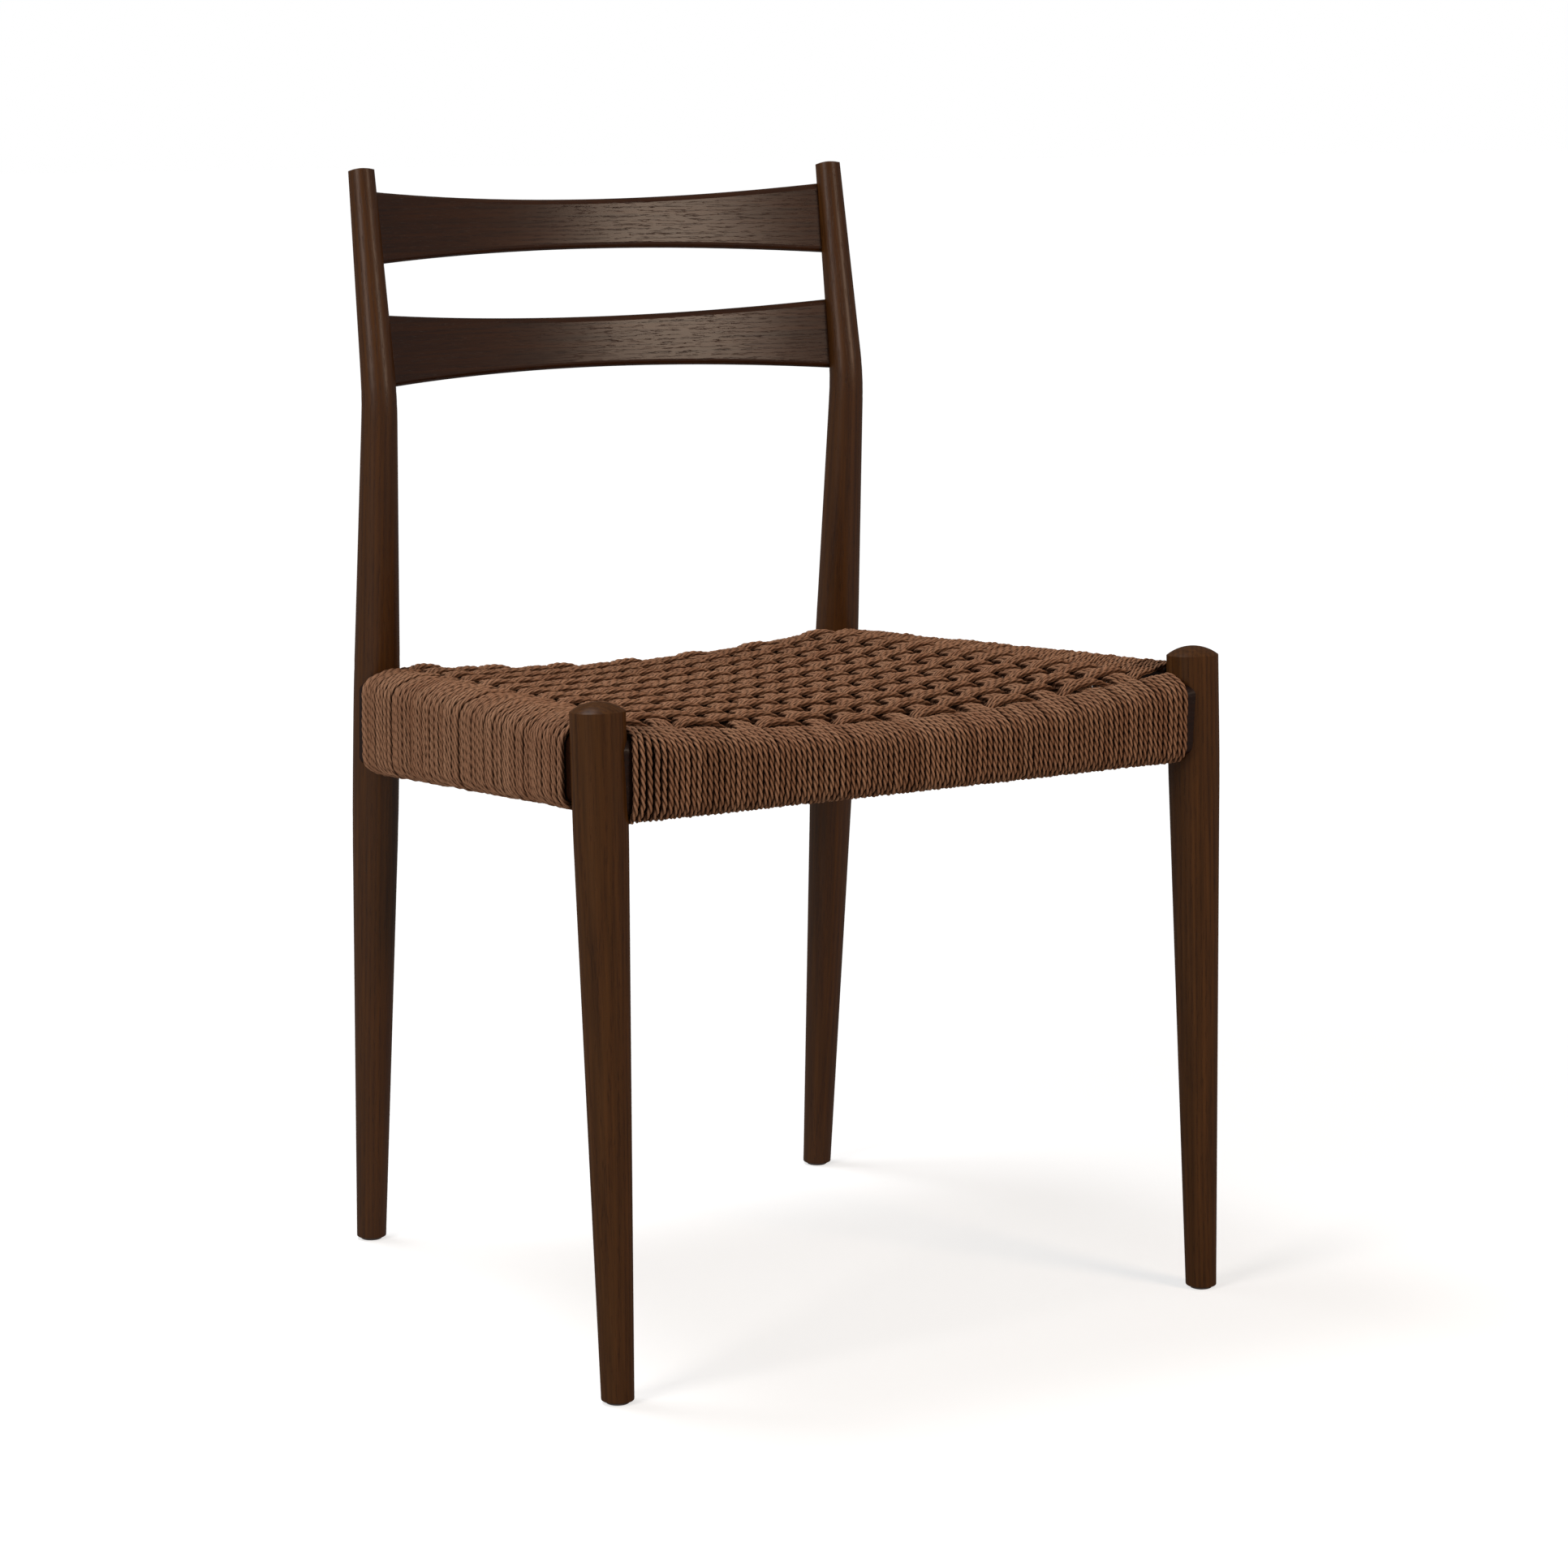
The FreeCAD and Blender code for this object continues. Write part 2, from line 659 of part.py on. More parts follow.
def main():
    os.makedirs("parts", exist_ok=True)
    front_legs = [front_leg_blank(side, joint_gap) for _, side in sides]
    rear_posts = [rear_post_blank(side, joint_gap) for _, side in sides]
    for name, side in sides:
        make_front_leg(name, side)
        make_rear_post(name, side)
    front_nails = warp_places(front_rail, warp_front_half_spread)
    rear_nails = warp_places(rear_rail, warp_rear_half_spread)
    make_rail("front_rail", front_rail, front_legs, front_nails)
    make_rail("rear_rail", rear_rail, rear_posts, rear_nails)
    make_wrap("front_rail_cord", front_rail, front_nails)
    make_wrap("rear_rail_cord", rear_rail, rear_nails)
    for index, (name, side) in enumerate(sides):
        rail = side_rails[name]
        places = weft_places(rail)
        make_rail("side_rail_" + name, rail, [front_legs[index], rear_posts[index]], places)
        make_wrap("side_rail_cord_" + name, rail, places)
    weft = seat_layer(0)
    warp = seat_layer(cord_diameter + cord_clearance)
    clear = [front_leg_blank(side, cord_clearance) for _, side in sides]
    clear += [rear_post_blank(side, cord_clearance) for _, side in sides]
    save(weft.cut(clear), "seat_weft_cords")
    save(warp.cut(clear), "seat_warp_cords")
    for name, slat in slats.items():
        body = slat.body().cut(rear_posts)
        tenons = [slat.tenon(side, 0) for _, side in sides]
        save(body.fuse(tenons).removeSplitter(), name)


main()
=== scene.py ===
import math

import bpy
import numpy as np
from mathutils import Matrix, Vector


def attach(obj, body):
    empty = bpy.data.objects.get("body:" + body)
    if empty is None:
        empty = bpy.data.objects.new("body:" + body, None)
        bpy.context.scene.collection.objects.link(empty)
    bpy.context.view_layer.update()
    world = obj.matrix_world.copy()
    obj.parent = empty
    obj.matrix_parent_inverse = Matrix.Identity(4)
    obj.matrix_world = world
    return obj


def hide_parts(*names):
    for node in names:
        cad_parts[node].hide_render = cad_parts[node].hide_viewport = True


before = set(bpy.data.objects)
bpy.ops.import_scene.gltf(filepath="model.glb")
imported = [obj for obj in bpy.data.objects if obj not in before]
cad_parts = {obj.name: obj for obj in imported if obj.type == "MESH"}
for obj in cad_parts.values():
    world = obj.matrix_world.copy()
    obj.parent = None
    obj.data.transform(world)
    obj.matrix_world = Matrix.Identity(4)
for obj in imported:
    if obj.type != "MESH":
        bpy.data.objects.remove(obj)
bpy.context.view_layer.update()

# Sizes are in millimetres, like the frame's source, and become metres when a mesh is made.
METRE = 0.001

# Legs at rail level: x, y and radius
FRONT_LEG = (245.57, -205.97, 18.5)
REAR_POST = (202.82, 191.63, 17.1)

# Rails: the wood inside the cord
RAIL_THICKNESS = 23.0
RAIL_TOP_FALL = 7.5
OUTER_TOP_ROUND = 9.5
OUTER_BOTTOM_ROUND = 8.0
INNER_TOP_ROUND = 4.0
INNER_BOTTOM_ROUND = 5.0
BARE_STRIP = 0.6
FRONT_OUTSET = 15.1
FRONT_BOTTOMS = (391.3, 391.3)
FRONT_CRESTS = (451.0, 451.0)
FRONT_DISH = 17.5
REAR_OUTSET = 14.8
REAR_BOTTOMS = (367.0, 367.0)
REAR_CRESTS = (439.0, 439.0)
REAR_DISH = 13.0
SIDE_OUTSET = 16.0
SIDE_BOTTOMS = (401.0, 367.0)
SIDE_CRESTS = (453.5, 438.5)
TOP_SLOPE = -RAIL_TOP_FALL / RAIL_THICKNESS
TOP_ANGLE = 90 + math.degrees(math.atan(TOP_SLOPE))

# Lean of the end turns towards their leg, at a rail's first and last end
FRONT_SPLAY = (4.4, 0.0)
REAR_SPLAY = (1.5, 1.5)
SIDE_SPLAY = (3.4, 0.0)
SPLAY_OUT = (5.0, 16.0)
SPLAY_REACH = 24.0

# Cord
CORD_RADIUS = 2.12
CORD_REST = 2.4
CORD_LAY = 19.0
CORD_STEP = 2.1
CORD_PITCH = 4.3
STRAND_RADIUS = 1.05
STRAND_CENTRE = CORD_RADIUS - STRAND_RADIUS
WEFT_THICKNESS_SHARE = 0.86
WARP_THICKNESS_SHARE = 0.97

# Columns on each strand: degrees from its middle, and how much painted light its roundness gets; the
# grooves between strands get painted shade
STRAND_COLUMNS = ((-60, 0.0), (-33, 0.6), (0, 1.0), (33, 0.6))
# Share of the cord's height off its side at which its painted light is full; towards the neighbouring
# cords it falls to painted shade
OPEN_PAINTED_LIGHT_SHARE = 0.75

# Nails: how far they sit under the crest, and the cord's loop over them
NAIL_DROP = 20.0
NAIL_TURN = 3.0
NAIL_TAIL = 10.0
LOOP_POINTS = 6
ROUND_POINTS = 7

# Unevenness of handwork: sideways strays, and lifts off the rail as a low and a high limit
STRAY = 0.16
STRAY_UP_SHARE = 0.6
STRAY_WAVES = ((14.0, 26.0), (30.0, 70.0))
PAIR_STRAY = 0.7
CORD_STRAY = 0.15
WARP_STRAY = 0.12
PAIR_LIFT = (-0.4, 0.8)
WEFT_LIFT = (-0.1, 0.4)
TURN_LIFT = (-0.1, 0.3)

# Weave: groups from front to back, and the turns of cord between and beyond them on the rails
WARP_GROUPS = 13
GROUP_CORDS = 4
LAST_GROUP = (WARP_GROUPS - 1) / 2
LAST_IN_GROUP = (GROUP_CORDS - 1) / 2
FRONT_SPREAD = 191.0
REAR_SPREAD = 171.0
FRONT_WRAPS = (FRONT_SPREAD, (3, 4, 3), (6, 6))
REAR_WRAPS = (REAR_SPREAD, (3, 2, 3), (1, 1))

# Weave: rows from side to side
WEFT_ROWS = 24
WEAVE_FRONT = -196.5
WEAVE_REAR = 180.7
ROW_PITCH = (WEAVE_REAR - WEAVE_FRONT) / WEFT_ROWS
ROW_PLACES = WEAVE_FRONT + (np.arange(WEFT_ROWS) + 0.5) * ROW_PITCH

# Weave: how the weft passes over and under, and how its rows draw together
WEFT_POINTS = 260
WEFT_RISE = 3.7
WEFT_STEEPNESS = 1.7
WEFT_GATHER = 38.0
WEFT_SETTLE = 25.0
WEFT_PAIRED_SHARE = 0.3
WEAVE_FADE = (0.25, 0.9)
ROW_PINCH_SHARE = 0.3
ROW_SPREAD_SHARE = 0.95
ROW_CROWN = 0.5
ROW_CROWN_REACH = 1.3

# Weave: how the warp passes over and under, and how its groups draw together
WARP_POINTS = 380
WARP_RISE = 1.6
WARP_DROP = 0.4
WARP_STEEPNESS = 2.2
WARP_LEAD = (0.0, 9.0)
WARP_GATHER = (-2.0, 14.0)
WARP_SETTLE = 16.0
WARP_SQUEEZE = 3.3
WARP_SWELL_SHARE = 0.06
WARP_CROWN = 0.5
WARP_CROWN_SWING = 0.3

# Where the weave paints shade on a diving cord, by dimming its painted light near the seat's mean surface
WOVEN_SIDE_SHARES = (0.97, 1.08)
WOVEN_END = (2.0, 14.0)
SUNK_REACH = (0.4, 2.6)

# Seat surface
SEAT_TENSION = 2.84
FRONT_STEP = 2.5
REAR_STEP = -0.5
MIDDLE_SAG = 5.0
EDGE_POWER = 8

FRONT_TO_BACK = np.array([0.0, 1.0, 0.0])
SIDE_TO_SIDE = np.array([1.0, 0.0, 0.0])
UPWARDS = np.array([0.0, 0.0, 1.0])

rng = np.random.default_rng(11)


def mix(start, end, share):
    return start + (end - start) * share


def smooth(low, high, value):
    """0 below low, 1 above high, and a cubic with level ends between them."""
    share = np.clip((value - low) / (high - low), 0, 1)
    return share * share * (3 - 2 * share)


def inside(value, first, last, low, high):
    """1 well inside the span from first to last. It fades to 0 from high to low away from each end."""
    return smooth(low, high, value - first) * smooth(low, high, last - value)


# Rails and the paths round them

class Rail:
    """A seat rail as straight lines between two leg axes. Out points away from the seat."""

    def __init__(self, start, end, outset, bottoms, crests, dish, splay):
        self.start = np.array([start[0], start[1], 0.0])
        run = np.array([end[0] - start[0], end[1] - start[1], 0.0])
        self.length = np.linalg.norm(run)
        self.along = run / self.length
        self.out = np.array([self.along[1], -self.along[0], 0.0])
        if self.out @ self.start < 0:
            self.out = -self.out
        self.inset = RAIL_THICKNESS - outset
        self.outset = outset
        self.bottoms = bottoms
        self.crests = crests
        self.dish = dish
        self.splay = splay
        self.first = start[2] + BARE_STRIP
        self.last = self.length - end[2] - BARE_STRIP

    def bottom(self, along):
        """A straight line between the heights at both ends."""
        return mix(self.bottoms[0], self.bottoms[1], along / self.length)

    def crest(self, along):
        """A straight line between both ends' heights, less a parabola as deep as the dish."""
        share = along / self.length
        return mix(self.crests[0], self.crests[1], share) - self.dish * (1 - (2 * share - 1) ** 2)

    def splayed(self, along, out):
        """The end turns lean towards their leg where the outer face stands clear of the leg's round."""
        near_first = 1 - smooth(0, SPLAY_REACH, along - self.first)
        near_last = 1 - smooth(0, SPLAY_REACH, self.last - along)
        lean = self.splay[1] * near_last - self.splay[0] * near_first
        return along + lean * smooth(*SPLAY_OUT, out)

    def place(self, along, out, height):
        """Points at that distance along and out of the rail's line, and at that height."""
        along = self.splayed(along, out)
        flat = self.start + along[..., None] * self.along + out[..., None] * self.out
        return flat + height[..., None] * UPWARDS

    def corners(self, along, grow):
        """Out, height and radius of the section's four rounds, in the order a cord meets them."""
        stretch = math.sqrt(1 + TOP_SLOPE ** 2)
        low = self.bottom(along) - grow
        outer = self.outset + grow
        inner = -self.inset - grow
        rounds = []
        for edge, side, radius in ((inner, 1, INNER_BOTTOM_ROUND), (outer, -1, OUTER_BOTTOM_ROUND)):
            radius = radius + grow
            rounds.append((edge + side * radius, low + radius, radius))
        for edge, side, radius in ((outer, -1, OUTER_TOP_ROUND), (inner, 1, INNER_TOP_ROUND)):
            radius = radius + grow
            out = edge + side * radius
            top = self.crest(along) + TOP_SLOPE * (out + self.inset) + grow * stretch
            rounds.append((out, top - radius * stretch, radius))
        return rounds

    def section(self, along, grow, last_angle):
        """Out and height of each cord's points from the inner face down, under and up over the top.
        Each corner is an arc of a circle, and the flats are the straight lines between the arcs."""
        angles = ((180, 270), (270, 360), (0, TOP_ANGLE), (TOP_ANGLE, last_angle))
        outs = []
        heights = []
        for (out, height, radius), (start, end) in zip(self.corners(along, grow), angles):
            angle = np.radians(np.linspace(start, end, ROUND_POINTS))
            outs.append(out[:, None] + radius[:, None] * np.cos(angle))
            heights.append(height[:, None] + radius[:, None] * np.sin(angle))
        return np.hstack(outs), np.hstack(heights)

    def crest_height(self, along, grow):
        """Height of the cord's middle where it passes the crest."""
        out, height, radius = self.corners(along, grow)[3]
        return height + radius


def hooks(rail, along, nail_along, grow):
    """Path of each cord: a quarter circle off its nail, down the inner face, round to the crest."""
    outs, heights = rail.section(along, grow, 90)
    side = np.sign(along - nail_along)[:, None]
    nail = (rail.crest(nail_along) - NAIL_DROP)[:, None]
    turn = np.radians(np.linspace(0, 90, LOOP_POINTS))
    over = nail_along[:, None] + side * NAIL_TURN * np.sin(turn)
    straight = np.repeat(along[:, None], 1 + outs.shape[1], axis=1)
    face = np.repeat((-rail.inset - grow)[:, None], LOOP_POINTS + 1, axis=1)
    heights = np.hstack([nail + NAIL_TURN * np.cos(turn), nail - NAIL_TAIL, heights])
    return rail.place(np.hstack([over, straight]), np.hstack([face, outs]), heights)


def coils(rail, along, grow, pitch):
    """Closed turns round the rail. Each one steps along by its own pitch, evenly from point to point."""
    outs, heights = rail.section(along, grow, 180)
    outs = np.hstack([outs, outs[:, :1]])
    heights = np.hstack([heights, heights[:, :1]])
    share = np.linspace(-0.5, 0.5, outs.shape[1])
    return rail.place(along[:, None] + share * pitch[:, None], outs, heights)


def mirrored(leg):
    """The left leg of a pair, from the right one."""
    return (-leg[0], *leg[1:])


FRONT_RAIL = (FRONT_OUTSET, FRONT_BOTTOMS, FRONT_CRESTS, FRONT_DISH, FRONT_SPLAY)
REAR_RAIL = (REAR_OUTSET, REAR_BOTTOMS, REAR_CRESTS, REAR_DISH, REAR_SPLAY)
SIDE_RAIL = (SIDE_OUTSET, SIDE_BOTTOMS, SIDE_CRESTS, 0.0, SIDE_SPLAY)

front_rail = Rail(mirrored(FRONT_LEG), FRONT_LEG, *FRONT_RAIL)
rear_rail = Rail(mirrored(REAR_POST), REAR_POST, *REAR_RAIL)
left_rail = Rail(mirrored(FRONT_LEG), mirrored(REAR_POST), *SIDE_RAIL)
right_rail = Rail(FRONT_LEG, REAR_POST, *SIDE_RAIL)


# The seat's mean surface

PANEL_FRONT = FRONT_LEG[1] + front_rail.inset + CORD_REST * 2
PANEL_REAR = REAR_POST[1] - rear_rail.inset - CORD_REST * 2


def panel_share(y):
    """0 at the front rail's inner face and 1 at the rear rail's."""
    return (y - PANEL_FRONT) / (PANEL_REAR - PANEL_FRONT)


def warp_reach(y):
    """Distance from the seat's middle to its outermost warp groups."""
    return mix(FRONT_SPREAD, REAR_SPREAD, panel_share(y))


def seat_height(x, y):
    """A saddle: a parabola from side to side, level with the side rails' crests at both edges. Its depth
    is a hyperbolic sine that dies away from each dished rail, a power that makes a step beside each
    rail, and a parabola between them."""
    share = np.clip(panel_share(y), 0, 1)
    along = (y - right_rail.start[1]) / right_rail.along[1]
    edge = right_rail.crest_height(along, np.full_like(along, CORD_REST))
    half = right_rail.start[0] + right_rail.along[0] * along - right_rail.inset
    sag = FRONT_DISH * np.sinh(SEAT_TENSION * (1 - share)) / math.sinh(SEAT_TENSION)
    sag = sag + REAR_DISH * np.sinh(SEAT_TENSION * share) / math.sinh(SEAT_TENSION)
    sag = sag + FRONT_STEP * (1 - share) ** EDGE_POWER + REAR_STEP * share ** EDGE_POWER
    sag = sag + MIDDLE_SAG * 4 * share * (1 - share)
    return edge - sag * np.clip(1 - (x / half) ** 2, 0, 1)


# Where each cord lies

def jitter(shape, size):
    return rng.uniform(-size, size, shape)


def twice(values):
    """Each value given to both cords of a pair."""
    return np.repeat(values, 2)


def paired(places):
    """For each cord the middle of its pair, where their nail is."""
    return twice(places.reshape(-1, 2).mean(axis=1))


def in_group(groups):
    """Each cord's place in its group, in cords from the group's middle."""
    return np.tile(np.arange(GROUP_CORDS) - LAST_IN_GROUP, groups)[:, None]


def beside_warp(across):
    """1 as far as the last warp group and 0 beyond it, where there is nothing left to pass over."""
    return 1 - smooth(LAST_GROUP + WEAVE_FADE[0], LAST_GROUP + WEAVE_FADE[1], across)


def alternating(beat, steepness):
    """1 at even beats and -1 at odd ones: a cosine squared up by a hyperbolic tangent."""
    return np.tanh(steepness * np.cos(math.pi * beat)) / math.tanh(steepness)


def joined(z, start, end, share, near):
    """Heights shifted so that each cord meets its hooks. Near is 1 at an end and 0 away from it."""
    miss = mix(start[:, 2:], end[:, 2:], share) - mix(z[:, :1], z[:, -1:], share)
    return z + miss * near


def warp_layout(rail, spread, between, ends):
    """Places along a rail of the warp groups' cords and of the turns between and beyond them."""
    counts = list(between) * (WARP_GROUPS // len(between))
    pitch = 2 * spread / (GROUP_CORDS * (WARP_GROUPS - 1) + sum(counts))
    centre = rail.length / 2 - spread
    groups = []
    turns = []
    for count in counts:
        groups.append(centre + (np.arange(GROUP_CORDS) - LAST_IN_GROUP) * pitch)
        turns.append(centre + (GROUP_CORDS / 2 + np.arange(count) + 0.5) * pitch)
        centre = centre + (GROUP_CORDS + count) * pitch
    groups.append(centre + (np.arange(GROUP_CORDS) - LAST_IN_GROUP) * pitch)
    left_room = groups[0][0] - pitch / 2 - rail.first
    right_room = rail.last - groups[-1][-1] - pitch / 2
    left = rail.first + (np.arange(ends[0]) + 0.5) * left_room / ends[0]
    right = rail.last - (np.arange(ends[1]) + 0.5)[::-1] * right_room / ends[1]
    return np.array(groups), [left] + turns + [right]


def distance_run(lines):
    """Length of each line up to each of its points."""
    steps = np.linalg.norm(np.diff(lines, axis=1), axis=2)
    return np.concatenate([np.zeros((len(lines), 1)), np.cumsum(steps, axis=1)], axis=1)


def arranged(lines):
    """The lines with points spread evenly again over their own lengths, at about the cord's step."""
    runs = distance_run(lines)
    count = int(runs[:, -1].max() / CORD_STEP) + 2
    made = np.empty((len(lines), count, 3))
    for index, (line, run) in enumerate(zip(lines, runs)):
        even = np.linspace(0, run[-1], count)
        for axis in range(3):
            made[index, :, axis] = np.interp(even, run, line[:, axis])
    return made


def eased(lines, rounds=2):
    """Rounds off small kinks by averaging each inner point with its two neighbours."""
    for _ in range(rounds):
        inner = (lines[:, :-2] + 2 * lines[:, 1:-1] + lines[:, 2:]) / 4
        lines = np.concatenate([lines[:, :1], inner, lines[:, -1:]], axis=1)
    return lines


def sides(lines, reference):
    """At each point two unit vectors square to the line: one nearest to the reference, one upwards."""
    tangent = np.gradient(lines, axis=1)
    tangent /= np.linalg.norm(tangent, axis=2, keepdims=True)
    side = reference - (tangent @ reference)[..., None] * tangent
    side /= np.linalg.norm(side, axis=2, keepdims=True)
    return side, np.cross(tangent, side)


def wandered(lines, reference):
    """Each cord strays from its line, sideways and up and down, by a short and a long sine wave each."""
    side, up = sides(lines, reference)
    far = distance_run(lines)
    moved = lines
    for direction, size in ((side, STRAY), (up, STRAY * STRAY_UP_SHARE)):
        for shortest, longest in STRAY_WAVES:
            wave = rng.uniform(shortest, longest, (len(lines), 1))
            start = rng.uniform(0, 2 * math.pi, (len(lines), 1))
            moved = moved + (size * np.sin(2 * math.pi * far / wave + start))[..., None] * direction
    return moved


# Cord surface

def outline():
    """Three round strands round the cord's middle: angle, radius and painted light of twelve columns.
    The radius is where a ray from the cord's middle leaves the strand's circle."""
    angles = []
    radii = []
    lights = []
    for strand in range(3):
        for turn, light in STRAND_COLUMNS:
            off = math.radians(turn)
            reach = STRAND_CENTRE * math.cos(off)
            reach += math.sqrt(STRAND_RADIUS ** 2 - (STRAND_CENTRE * math.sin(off)) ** 2)
            angles.append(math.radians(strand * 120 + turn))
            radii.append(reach)
            lights.append(light)
    return np.array(angles), np.array(radii), np.array(lights)


COLUMN_ANGLES, COLUMN_RADII, COLUMN_PAINTED_LIGHTS = outline()
COLUMNS = len(COLUMN_ANGLES)


def rope(paths, reference, phase, thickness=1.0):
    """The outline carried along each path. It turns back once in each lay, which makes an S twist.
    The painted light on a point is 1 on a strand's back, on the cord's upper or lower side, and falls to 0
    in the grooves and towards the neighbouring cords, where the material paints shade."""
    side, up = sides(paths, reference)
    far = distance_run(paths)
    angle = COLUMN_ANGLES + phase[:, None, None] - 2 * math.pi * far[..., None] / CORD_LAY
    ring = np.cos(angle)[..., None] * side[:, :, None] + np.sin(angle)[..., None] * up[:, :, None]
    height = np.abs(np.sin(angle)) * COLUMN_RADII / CORD_RADIUS
    light = COLUMN_PAINTED_LIGHTS * smooth(0.0, OPEN_PAINTED_LIGHT_SHARE, height)
    return paths[:, :, None] + ring * COLUMN_RADII[:, None] * thickness, far, light


def rope_faces(cords, points, offset):
    """Side quads and the two end caps of each cord, as vertex numbers, normals outwards."""
    cord = np.arange(cords)[:, None, None] * points
    point = np.arange(points - 1)[None, :, None]
    column = np.arange(COLUMNS)[None, None, :]
    following = (column + 1) % COLUMNS
    here = (cord + point) * COLUMNS
    there = here + COLUMNS
    quads = np.stack([here + column, here + following, there + following, there + column], axis=-1)
    start = np.arange(cords)[:, None] * points * COLUMNS
    first = start + np.arange(COLUMNS)[::-1]
    last = start + (points - 1) * COLUMNS + np.arange(COLUMNS)
    return quads.reshape(-1, 4) + offset, np.vstack([first, last]) + offset


def rope_mesh(name, spots, quads, caps):
    """A mesh with smooth quads and flat caps."""
    mesh = bpy.data.meshes.new(name)
    mesh.vertices.add(len(spots))
    mesh.vertices.foreach_set("co", spots.astype(np.float32).ravel())
    totals = np.concatenate([np.full(len(quads), 4), np.full(len(caps), COLUMNS)])
    starts = np.cumsum(totals) - totals
    mesh.loops.add(quads.size + caps.size)
    corners = np.concatenate([quads.ravel(), caps.ravel()])
    mesh.loops.foreach_set("vertex_index", corners.astype(np.int32))
    mesh.polygons.add(len(totals))
    mesh.polygons.foreach_set("loop_start", starts.astype(np.int32))
    mesh.polygons.foreach_set("loop_total", totals.astype(np.int32))
    mesh.polygons.foreach_set("use_smooth", totals == 4)
    return mesh


def unrolled(quads, caps, runs):
    """For each corner of the faces, its distance along the cord and its share of a turn round it."""
    around = quads % COLUMNS
    past_seam = (around == 0) & (around[:, :1] == COLUMNS - 1)
    around = np.concatenate([(around + COLUMNS * past_seam).ravel(), caps.ravel() % COLUMNS])
    along = runs[np.concatenate([quads.ravel(), caps.ravel()])]
    return np.stack([along, around / COLUMNS], axis=1)


def cord_piece(name, batches, node):
    """One mesh of many cords. Each batch holds rings, distance run, painted light and tone."""
    spots, quads, caps, runs, lights, tones = [], [], [], [], [], []
    offset = 0
    for rings, far, light, tone in batches:
        cords, points = rings.shape[:2]
        faces, ends = rope_faces(cords, points, offset)
        spots.append(rings.reshape(-1, 3))
        quads.append(faces)
        caps.append(ends)
        runs.append(np.repeat(far.ravel(), COLUMNS))
        lights.append(light.ravel())
        tones.append(np.repeat(tone, points * COLUMNS))
        offset += cords * points * COLUMNS
    quads = np.vstack(quads)
    caps = np.vstack(caps)
    mesh = rope_mesh(name, np.vstack(spots) * METRE, quads, caps)
    layer = mesh.uv_layers.new(name="along_cord")
    spread = unrolled(quads, caps, np.concatenate(runs) * METRE)
    layer.data.foreach_set("uv", spread.astype(np.float32).ravel())
    for label, values in (("tone", tones), ("light", lights)):
        attribute = mesh.attributes.new(label, "FLOAT", "POINT")
        attribute.data.foreach_set("value", np.concatenate(values).astype(np.float32))
    mesh.update(calc_edges=True)
    mesh.validate()
    piece = bpy.data.objects.new(name, mesh)
    bpy.context.scene.collection.objects.link(piece)
    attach(piece, "root")
    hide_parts(node)
    piece.data.materials.append(cord_material())


# Materials

# A pattern is the size of its spots in millimetres, twice across the grain and once along it,
# then how many finer octaves it has and how strong they are.

# Growth rings of the ash, and how far they wander
RING_WIDTH = 3.4
RING_STRAY = 8.0
RING_WANDER = ((71.43, 71.43, 454.5), 1.0, 0.4)
EARLY_WOOD_SHARES = (0.12, 0.42)
EARLY_COLOUR = "#2a1207"
EARLY_STRENGTH = 0.2

# The tree's heart, behind and beside each piece
HEART_BACK = 45.0
HEART_ASIDE = 20.0
HEART_DRIFT_SHARE = 0.1

# Open pores. Real ones are some 0.3 mm wide, which is too fine to show, so these are twice as wide.
PORE_SPOTS = ((0.6667, 0.6667, 13.33), 2.0, 0.55)
PORE_DEPTH = 0.2
PORE_BUMP = 0.28
PORE_COLOUR = "#140803"
PORE_LIMITS = (0.64, 0.52)
PORE_EDGE = 0.06

# Long streaks of lighter and darker stain
STREAK_SPOTS = ((3.333, 3.333, 111.1), 3.0, 0.6)
STREAK_RANGE = (0.3, 0.7)

# Stain: the dark and the pale of its streaks. Sheen: weight and roughness of the oil's gloss.
LEG_STAIN = ("#38220f", "#4c2f16")
LEG_SHEEN = (0.05, 0.32)
POST_STAIN = ("#351e0b", "#472a10")
POST_SHEEN = (0.085, 0.34)
SLAT_STAIN = ("#231003", "#351a04")
SLAT_SHEEN = (0.083, 0.25)
# The rails' stain is much darker than the legs': painted shade on the bare rail ends beside the legs
RAIL_STAIN_AND_SHADE = ("#170b06", "#211008")
FAINT_PORES = 0.35
CLEAR_PORES = 0.45
WOOD_ROUGHNESS = 0.5
OIL_IOR = 2.0

# Lean of the legs and posts: height of the bend in metres, and the slope below and above it
LEG_SLOPE = 21.4 / 462.6
LEG_LEAN = (0.0, LEG_SLOPE, LEG_SLOPE)
POST_BEND = 639.0
POST_LEAN = (POST_BEND * METRE, -38.6 / POST_BEND, 25.8 / 164.0)

# Bow of the slats: their depth over the square of their half span, both in metres
SLAT_DEPTH = 28.0
SLAT_HALF_SPAN = 202.0
SLAT_BOW = SLAT_DEPTH * METRE / (SLAT_HALF_SPAN * METRE) ** 2

# Ash pieces: material, stain, sheen, pores, place of the cut in the plank, lean and bow
ASH_PIECES = {
    "front_leg": ("stained_ash_front_legs", LEG_STAIN, LEG_SHEEN, FAINT_PORES, 13.0, LEG_LEAN, 0.0),
    "rear_post": ("stained_ash_rear_posts", POST_STAIN, POST_SHEEN, FAINT_PORES, 31.0, POST_LEAN, 0.0),
    "upper_slat": ("stained_ash_upper_slat", SLAT_STAIN, SLAT_SHEEN, CLEAR_PORES, 52.0, None, SLAT_BOW),
    "lower_slat": ("stained_ash_lower_slat", SLAT_STAIN, SLAT_SHEEN, CLEAR_PORES, 87.0, None, SLAT_BOW),
}
